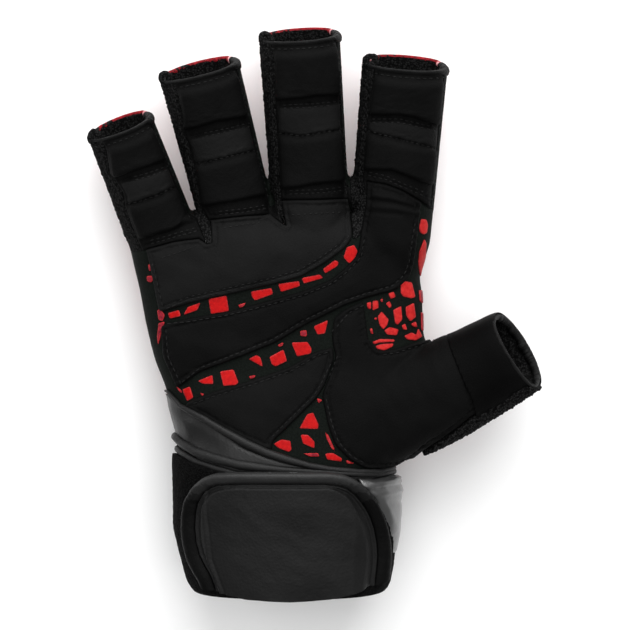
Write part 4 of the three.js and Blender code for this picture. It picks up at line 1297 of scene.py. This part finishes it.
TAB_LOW = GAP + WRAP_WALL + GAP
TAB_SIDES = [
    (230, 473), (330, 473), (345, 475), (356, 479), (366, 486), (374, 495), (381, 505), (386, 515),
    (390, 527), (393, 542), (394, 557), (393, 571),
]
TAB_FOOT = [
    (389, 580), (383, 585), (372, 587), (360, 593), (345, 597), (330, 600), (310, 602), (290, 603),
    (270, 602), (245, 600), (228, 596), (214, 592), (203, 590),
]
TAB_LEFT = [(196, 582), (190, 572), (184, 560), (180, 545), (178.5, 530), (179, 515), (182, 500),
            (190, 487), (200, 478), (212, 474)]
TAB_OUTLINE = [*TAB_SIDES, *TAB_FOOT, *TAB_LEFT]
TAB_OPEN_OUTLINE = [*TAB_SIDES, (384, 640), (218, 640), *TAB_LEFT]  # its sides run on past the foot
BINDING_WIDTH = 4.1


# Folds in the strap beside the tab, charted in pixels: a line, a height in millimetres and a half width
STRAP_FOLDS = [
    ([(360, 486), (385, 481), (405, 471)], 0.7, 2.2), ([(360, 491), (385, 487), (405, 480)], -0.5, 1.6),
    ([(365, 496), (385, 493), (405, 489)], 0.4, 2.2), ([(365, 505), (400, 502)], -0.25, 3.0),
]


def strap_rise(points, share):
    """The strap's height: rounded edges, its folds, and a dip where it runs under the wrap and the tab."""
    seen = picture(points + [0, 0, TAB_LOW])
    ends = edge_rise(np.minimum(share, 1 - share) * 40, 1.0)
    folds = np.zeros(len(points))
    for line, lift, width in STRAP_FOLDS:
        folds += lift * bell(above_line(seen, line), width)
    folds *= smooth_step(352, 375, seen[:, 0])
    bump = 0.9 * bell(seen[:, 1] - 558, 7) * smooth_step(375, 395, seen[:, 0])
    soft = noise(points, 20, 91) * 0.25 + noise(points, 5, 92) * 0.05
    under = smooth_step(0.9, 1.0, share) * 1.3 + smooth_step(0.1, 0.0, share) * 1.5
    under += smooth_step(3, 12, chart_distance(seen, TAB_OUTLINE)) * 1.6
    return TAB_LOW - 0.6 + 1.2 * ends - under + (soft + folds + bump)


def strap_piece():
    """The smooth leather of the strap, round the thumb's side and the back."""
    angles = np.radians(np.linspace(206, 414, 180))
    head = wrist_line(PIPING_LINE, angles, TAB_LOW, 5.0)
    foot = np.full(len(angles), 0.07)
    add_band("strap_leather_band", "strap_leather", "smooth_leather", GLOSS, angles, foot, head, 60,
             strap_rise, 1.4, closed=False)


def tab_surface():
    """The skin below the tab, with how far each point is from the tab's edge and where it is seen."""
    columns, rows = 260, 150
    angles = np.radians(np.linspace(-6, 178, columns))
    flat, away = wrist_grid(*np.meshgrid(angles, np.linspace(-0.02, 0.27, rows), indexing="ij"))
    seen = picture(flat + away * (TAB_LOW + 2))
    whole = chart_distance(seen, rounded(TAB_OUTLINE, 3)) * MM_PER_PIXEL
    edge = chart_distance(seen, rounded(TAB_OPEN_OUTLINE, 3)) * MM_PER_PIXEL
    return cut(flat, away, band_triangles(columns, rows, False), whole, edge, seen)


def tab_field(points, normals, inner, seen, triangles):
    """The tab's soft leather, with a ridge and a groove inside its edge and two folds."""
    field = inner - BINDING_WIDTH
    dip = np.interp(seen[:, 0], [200, 225, 335, 362], [2.6, 0.7, 0.7, 4.6])
    ridge = 1.0 * bell(field - 0.7, 0.4)
    height = TAB_LOW + 1.6 - 1.9 * (1 - smooth_step(1.0, 1.0 + dip, field)) + ridge
    middle = smooth_step(2, 9, field)
    height += (noise(points, 24, 93) * 0.35 + noise(points, 7, 94) * 0.1) * middle
    height += noise(points, 1.8, 95) * 0.035
    fold = seen[:, 0] - np.interp(seen[:, 1], [485, 520, 560, 600], [204, 206.5, 211, 226])
    height += 0.45 * bell(fold + 3.5, 3) - 0.35 * bell(fold, 1.3)
    fold = seen[:, 0] - np.interp(seen[:, 1], [490, 530, 600], [352, 361, 358])
    height += 0.3 * bell(fold + 4, 4)
    top = points + normals * height[:, None]
    base = points + normals * (TAB_LOW - 0.4)
    piece = add_piece("tab_leather_field", *walled(top, base, triangles), TAB, "smooth_leather",
                      ["tab_panel"], keep=0.7)
    surfaces.append((top, triangles))


def tab_edge_painted_shade(points, normals, inner, triangles):
    """The rolled edge round the tab, with painted shade: four steps of its leather, lightest at the top and
    darkest down its sides.
    """
    points, normals, inner, triangles = cut(points, normals, triangles, BINDING_WIDTH - inner, inner)
    share = np.clip(inner / BINDING_WIDTH, 0, 1)
    climb = edge_rise(share, 0.36)
    fall = np.cos(np.clip((share - 0.36) / 0.64, 0, 1) * math.pi / 2) ** 0.75
    height = TAB_LOW + 0.2 + 2.1 * climb * fall + noise(points, 9, 96) * 0.1 + noise(points, 1.4, 97) * 0.05
    top = points + normals * height[:, None]
    solid, faces = walled(top, points + normals * (TAB_LOW + 0.1), triangles)
    # Painted shade: the lower a triangle is seen in the picture, the darker and less glossy the leather it
    # takes.
    middles = solid[faces].mean(1)
    painted_darkness = (picture(middles)[:, 1] - 477) / 8 + noise(middles, 1.5, 98) * 0.3
    painted_shade_steps = np.clip(painted_darkness, 0, len(TAB_EDGE_PAINTED_SHADES) - 1).astype(int)
    add_piece("tab_binding_roll", solid, faces, TAB_EDGE_PAINTED_SHADES, "bound_edge", ["tab_binding"], painted_shade_steps)
    surfaces.append((top, triangles))


def tab_pieces():
    points, normals, inner, seen, triangles = tab_surface()
    tab_field(points, normals, inner, seen, triangles)
    tab_edge_painted_shade(points, normals, inner, triangles)


strap_piece()
tab_pieces()

# The print's tiles in the gaps between the palm's leather, charted in pixels, by their shade of red
RED_TILES = [
    # first channel, from the left
    [(168, 313), (179, 310), (181, 316), (170, 318.5)],
    [(183.5, 315), (188, 307), (200.5, 302.5), (197.5, 310)],
    [(208.5, 299), (226.5, 295.5), (229, 311), (211, 314)],
    [(251, 291.5), (271.5, 288), (273, 294), (255, 300.5), (252, 297)],
    [(278, 284), (299, 281), (300, 286), (281, 292)],
    [(301.5, 278), (320, 274.5), (323, 278), (304, 283.5)],
    [(323, 269), (335, 260), (338.5, 262), (337.5, 266), (325, 273.5)],
    [(346.5, 247.5), (354, 245), (357.5, 251), (353.5, 262), (348.5, 263), (343.5, 257.5)],
    # second channel
    [(182.5, 389.5), (190, 386.5), (193.5, 397.5), (187.5, 401)],
    [(198, 381), (212.5, 375), (213.5, 384), (203.5, 384)],
    [(220, 371.5), (233.5, 369.5), (238.5, 382.5), (236, 385), (223.5, 386)],
    [(248.5, 359), (256.5, 355), (260.5, 357.5), (263, 367)],
    [(269.5, 357), (283.5, 349.5), (287, 361), (275.5, 366.5), (271.5, 364)],
    [(291.5, 342.5), (307.5, 342), (311.5, 348.5), (311, 353.5), (297, 356.5)],
    [(313.5, 326.5), (328, 320), (325, 333.5), (317.5, 334.5)],
    # lower triangle
    [(299.5, 428.5), (307, 414.5), (313, 412.5), (318.5, 424.5), (318, 429)],
    [(300.5, 434.5), (308, 435), (314.5, 441.5), (314.5, 448.5), (303, 443.5)],
    [(273.5, 444), (281.5, 439.5), (290.5, 441), (291.5, 450), (289, 452), (278.5, 448)],
    [(325, 453.5), (333, 453), (342, 458.5), (341.5, 461.5), (327, 459.5)],
]
PINK_TILES = [
    # web beside the thumb
    [(400.5, 282), (404, 281), (411.5, 282.5), (415, 297), (411, 298.5), (403, 296.5), (400.5, 293)],
    [(405.5, 307), (413.5, 303), (415.5, 317), (410, 321.5), (406, 315.5)],
    [(393, 310), (401, 306), (402, 319.5), (397.5, 325), (395, 323)],
    [(377.5, 316.5), (381.5, 311.5), (388.5, 319.5), (387, 325.5), (383, 329.5), (379.5, 325)],
    [(366.5, 303), (371, 301.5), (371, 309.5), (367.5, 308.5)],
    [(372.5, 301), (378, 300.5), (378.5, 308), (372.5, 310.5)],
    [(388, 293.5), (393.5, 291.5), (395.5, 297), (390.5, 299)],
    [(385.5, 303.5), (389.5, 301), (391.5, 306), (389.5, 308.5)],
    [(384, 330.5), (389.5, 327), (398.5, 329.5), (396.5, 335.5), (387, 334.5)],
    [(401.5, 325.5), (405, 323.5), (407, 330), (403, 329.5)],
    [(410.5, 324), (415.5, 321.5), (417, 327.5), (413, 326.5)],
    [(404, 336), (411.5, 332.5), (416, 335), (418, 328.5), (422, 336.5), (415.5, 340.5), (407, 339.5)],
    [(372, 342), (380, 339), (394.5, 339.5), (394, 342), (380, 342.5), (374, 344.5)],
    [(375, 346), (382, 344), (393.5, 343.5), (392.5, 346.5), (384.5, 350.5), (377, 349)],
    # index finger's side
    [(421, 219), (426, 219.5), (427.5, 225), (426.5, 233), (423, 234.5), (419.5, 232), (419, 226)],
    [(424, 239), (426, 243), (425.5, 256), (423, 268), (421.5, 280), (419.5, 274), (418, 262),
     (419, 252)],
]
DARK_TILES = [
    [(157.5, 310), (160.8, 309), (165, 315), (163, 321), (159, 320)],
    [(238, 305), (246, 302.5), (244, 306), (240, 308)],
    [(148.5, 264), (152.5, 265), (152, 270), (149.5, 271.5)],
    [(147, 276), (152.5, 275.5), (153.5, 280), (151, 282.5), (147.5, 281)],
    [(159, 323), (165, 321.5), (161.5, 333.5), (158.5, 345), (157.5, 337)],
    [(176.5, 386), (181.5, 390), (183, 394), (178.5, 390)],
    [(200, 392.5), (204.5, 394), (202.5, 396.5)],
    [(248.5, 376.5), (255.5, 375), (255, 377.5), (250.5, 379)],
    [(277.5, 345), (283.5, 342), (283, 345.5), (279, 347)],
    [(300, 331), (306.5, 330), (307, 336.5), (300.5, 336)],
    [(316.5, 398), (322.5, 400), (318.5, 403.5)],
    [(303, 453.5), (318, 453), (319.5, 456.5), (310, 456.5)],
    [(325, 431.5), (328.5, 435.5), (335.5, 451.5), (331.5, 448.5), (326.5, 438.5)],
    [(345.5, 459.5), (355, 463.5), (347, 463.5)],
    [(379.5, 299.5), (383, 298.5), (382, 303)],
    [(373, 318.5), (377, 317), (376.5, 320.5)],
    [(369.5, 328.5), (372, 328), (373.5, 334.5), (371, 333.5)],
    [(418.5, 290), (423, 290.5), (422.5, 303.5), (419.5, 301.5)],
    [(420.5, 312), (423, 313), (423, 331.5), (421, 330)],
]


def print_tiles():
    """Red tiles cut from the skin and laid on the fabric, with a painted highlight along their edges."""
    parts, indices = [], []
    middles = palm_seen[palm_triangles].mean(1)
    outlines = [(outline, number) for number, tiles in enumerate((RED_TILES, PINK_TILES, DARK_TILES))
                for outline in tiles]
    for outline, number in outlines:
        low, high = np.min(outline, axis=0) - 4, np.max(outline, axis=0) + 4
        near = palm_triangles[((middles > low) & (middles < high)).all(1)]
        near = near[palm_normals[near[:, 0], 2] > -0.1]
        if not len(near):
            continue
        data, near = compact(np.concatenate([palm_points, palm_normals], 1), near)
        points, normals = data[:, :3], data[:, 3:]
        field = chart_distance(picture(points), rounded(outline, 1.2)) * MM_PER_PIXEL
        points, normals, inner, triangles = cut(points, normals, near, field, field)
        if not len(triangles):
            continue
        top = points + normals * (0.24 + 0.12 * edge_rise(inner, 0.5))[:, None]
        solid, faces = walled(top, points + normals * 0.02, triangles)
        parts.append((solid, faces))
        # Triangles within a quarter millimetre of a tile's edge take the painted highlight.
        upper = np.where(inner[triangles].mean(1) < 0.25, 3, number)
        indices.append(numbered(faces, upper, number))
    points, triangles = joined(parts)
    add_piece("red_tiles", points, triangles, [RED, PINK, DARK_RED, TILE_EDGE_PAINTED_HIGHLIGHT], "printed_fabric",
              indices=np.concatenate(indices))


def capsule(length, radius, sides=6):
    """A stitch along x, with rounded ends."""
    stations = [(-0.5, 0.25), (-0.4, 0.8), (0.0, 1.0), (0.4, 0.8), (0.5, 0.25)]
    turns = np.linspace(0, 2 * math.pi, sides, endpoint=False)
    rings = np.array([np.stack([np.full(sides, x * length), radius * r * np.cos(turns),
                                radius * r * np.sin(turns)], 1) for x, r in stations])
    return closed_tube(rings)


def stitch_places(line, pitch):
    """Points at even steps along a charted line."""
    points = np.asarray(line, float)
    steps = np.hypot(*np.diff(points, axis=0).T)
    far = np.concatenate([[0], np.cumsum(steps)])
    wanted = np.arange(pitch / 2, far[-1], pitch)
    return np.stack([np.interp(wanted, far, points[:, i]) for i in range(2)], 1)


def moved_line(line, distance):
    """A charted line moved to its right-hand side by a distance."""
    points = np.asarray(line, float)
    step = np.gradient(points, axis=0)
    step /= np.linalg.norm(step, axis=1)[:, None]
    return points + np.stack([-step[:, 1], step[:, 0]], 1) * distance


# Rows of stitches, charted in pixels: a line and the pitch and length of its stitches in millimetres
PANEL_SEAMS = [
    ([(165, 309), (190, 299.5), (230, 290.5), (270, 281.5), (300, 273), (323, 260), (342, 246),
      (350, 234)], 2.2, 1.5),
    ([(166, 306), (190, 296.5), (230, 287.5), (270, 278.5), (299, 270), (321, 257), (339, 244)],
     2.2, 1.2),
    ([(166, 324), (190, 321.5), (230, 314.5), (261, 307), (301, 296), (332, 283.5), (348, 271),
      (361, 257), (364, 240)], 2.2, 1.5),
    ([(181, 383), (200, 368), (239, 353), (274, 339), (303, 321), (324, 311), (344, 301), (365, 294),
      (392, 286), (404, 275), (409, 261), (412, 240), (415, 224)], 2.1, 1.4),
    ([(192, 404), (212, 397), (252, 385), (291, 371), (316, 356), (331, 351)], 2.2, 1.5),
    ([(336, 352), (330, 365), (321, 384), (314, 396), (297, 412), (282, 427), (272, 437)], 2.1, 1.5),
    ([(338, 355), (333, 368), (325, 387), (318, 400)], 2.1, 1.3),
    ([(326, 398), (332, 425), (339, 443), (352, 457), (365, 463)], 2.3, 1.5),
    ([(331, 333), (349, 313), (362, 306)], 2.2, 1.4),
    ([(371, 308), (373, 340), (379, 355), (396, 353), (411, 348), (424, 345)], 2.2, 1.3),
    ([(152, 262), (163, 307)], 2.3, 1.4),
    ([(166, 328), (168, 356), (181, 384)], 2.3, 1.4),
    ([(161, 258), (180, 252), (198, 245)], 1.9, 1.2),
    ([(222, 228), (262, 222)], 2.0, 1.1),
    ([(290, 215), (345, 212)], 2.0, 1.1),
]


def add_stitches(name, rows, surface, radius=0.2):
    """Stitches of thread laid along charted lines on the surface below them."""
    parts = []
    for line, pitch, length in rows:
        places = stitch_places(line, pitch * PIXELS_PER_MM)
        hits = [surface.ray_cast(*(Vector(v) for v in ray_through(place))) for place in places]
        template, faces = capsule(length, radius)
        for i, hit in enumerate(hits):
            before, after = hits[max(i - 1, 0)], hits[min(i + 1, len(hits) - 1)]
            if hit[0] is None or before[0] is None or after[0] is None:
                continue
            onward = after[0] - before[0]
            if not 0.5 < onward.length < 3.2 * pitch:
                continue
            x = onward.normalized()
            z = hit[1].normalized()
            y = z.cross(x).normalized()
            z = x.cross(y)
            turned = template @ np.array([x, y, z])
            parts.append((turned + np.array(hit[0]) + np.array(z) * radius * 0.35, faces))
    points, triangles = joined(parts)
    add_piece(name, points, triangles, THREAD, "bound_edge")


def surface_tree():
    points, triangles = joined(surfaces)
    return BVHTree.FromPolygons(points.tolist(), triangles.tolist())


def finger_seams():
    """Stitches across the fingers' faces, and along both of their edges."""
    rows = []
    for name, lines in FACE_LINES.items():
        for k in (1, 2, 4):
            rows.append((lines[k], 1.9, 1.2))
        rows.append((moved_line(lines[1], 3.4), 2.1, 1.1))
        rows.append((moved_line(lines[4], -3.4), 2.1, 1.1))
        digit = digits[name]
        vs = np.linspace(0.2, 0.955, 30)
        edge = digit.points(np.full(30, math.radians(FACE_FROM + 9)), vs, 1.5)
        rows.append((picture(edge), 2.2, 1.2))
        rows.append((moved_line(FACE_EDGES[name], 4.5), 2.0, 1.2))
        around = np.radians(np.linspace(145, 35, 20))
        rim = digit.points(around, np.full(20, 1 - 1.9 / digit.length), 1.2)
        rows.append((picture(rim), 2.1, 1.2))
    return rows


print_tiles()
dressed = surface_tree()
add_stitches("palm_stitches", PANEL_SEAMS, dressed)
add_stitches("finger_stitches", finger_seams(), dressed)

# Floor, light and camera


FLOOR_HALF = 6.0
FLOOR_DROP = 0.0012
LIGHTS = [
    # name, place, size, power
    ("key", (0.15, 1.15, 0.8), 1.3, 28.0),
    ("left", (-1.2, 0.5, 0.5), 0.8, 4.5),
    ("top", (0.2, 0.1, 1.7), 1.8, 14.0),
]
SENSOR = 36.0


def add_floor():
    mesh = bpy.data.meshes.new("floor")
    corners = [(x * FLOOR_HALF, y * FLOOR_HALF, 0) for x, y in ((-1, -1), (1, -1), (1, 1), (-1, 1))]
    mesh.from_pydata(corners, [], [(0, 1, 2, 3)])
    floor = put("floor", mesh)
    floor.location.z = CAD_LOW.z - FLOOR_DROP
    pale = Recipe("pale_floor")
    pale.shader.inputs["Base Color"].default_value = (0.99, 0.99, 0.99, 1)
    pale.shader.inputs["Roughness"].default_value = 0.9
    mesh.materials.append(pale.material)


def add_lights():
    world = bpy.data.worlds.new("studio")
    bpy.context.scene.world = world
    world.use_nodes = True
    world.node_tree.nodes["Background"].inputs["Color"].default_value = (1, 1, 1, 1)
    world.node_tree.nodes["Background"].inputs["Strength"].default_value = 0.42
    for name, place, size, power in LIGHTS:
        light = bpy.data.lights.new(name, "AREA")
        light.size = size
        light.energy = power
        lamp = put(name, light)
        lamp.location = place
        lamp.rotation_euler = (Vector((0, 0, 0.02)) - Vector(place)).to_track_quat("-Z", "Y").to_euler()


def add_camera():
    eye = camera_frame()[0]
    data = bpy.data.cameras.new("camera")
    data.sensor_width = SENSOR
    data.sensor_fit = "HORIZONTAL"
    data.lens = SENSOR * PIXELS_PER_MM * CAMERA_DISTANCE / PICTURE
    data.clip_start = 0.05
    data.clip_end = 50
    camera = put("camera", data)
    camera.location = (eye + SHIFT) * METRE
    camera.rotation_euler = (-CAMERA_TILT, 0, 0)
    bpy.context.scene.camera = camera


add_floor()
add_lights()
add_camera()
bpy.context.scene.view_settings.view_transform = "Standard"
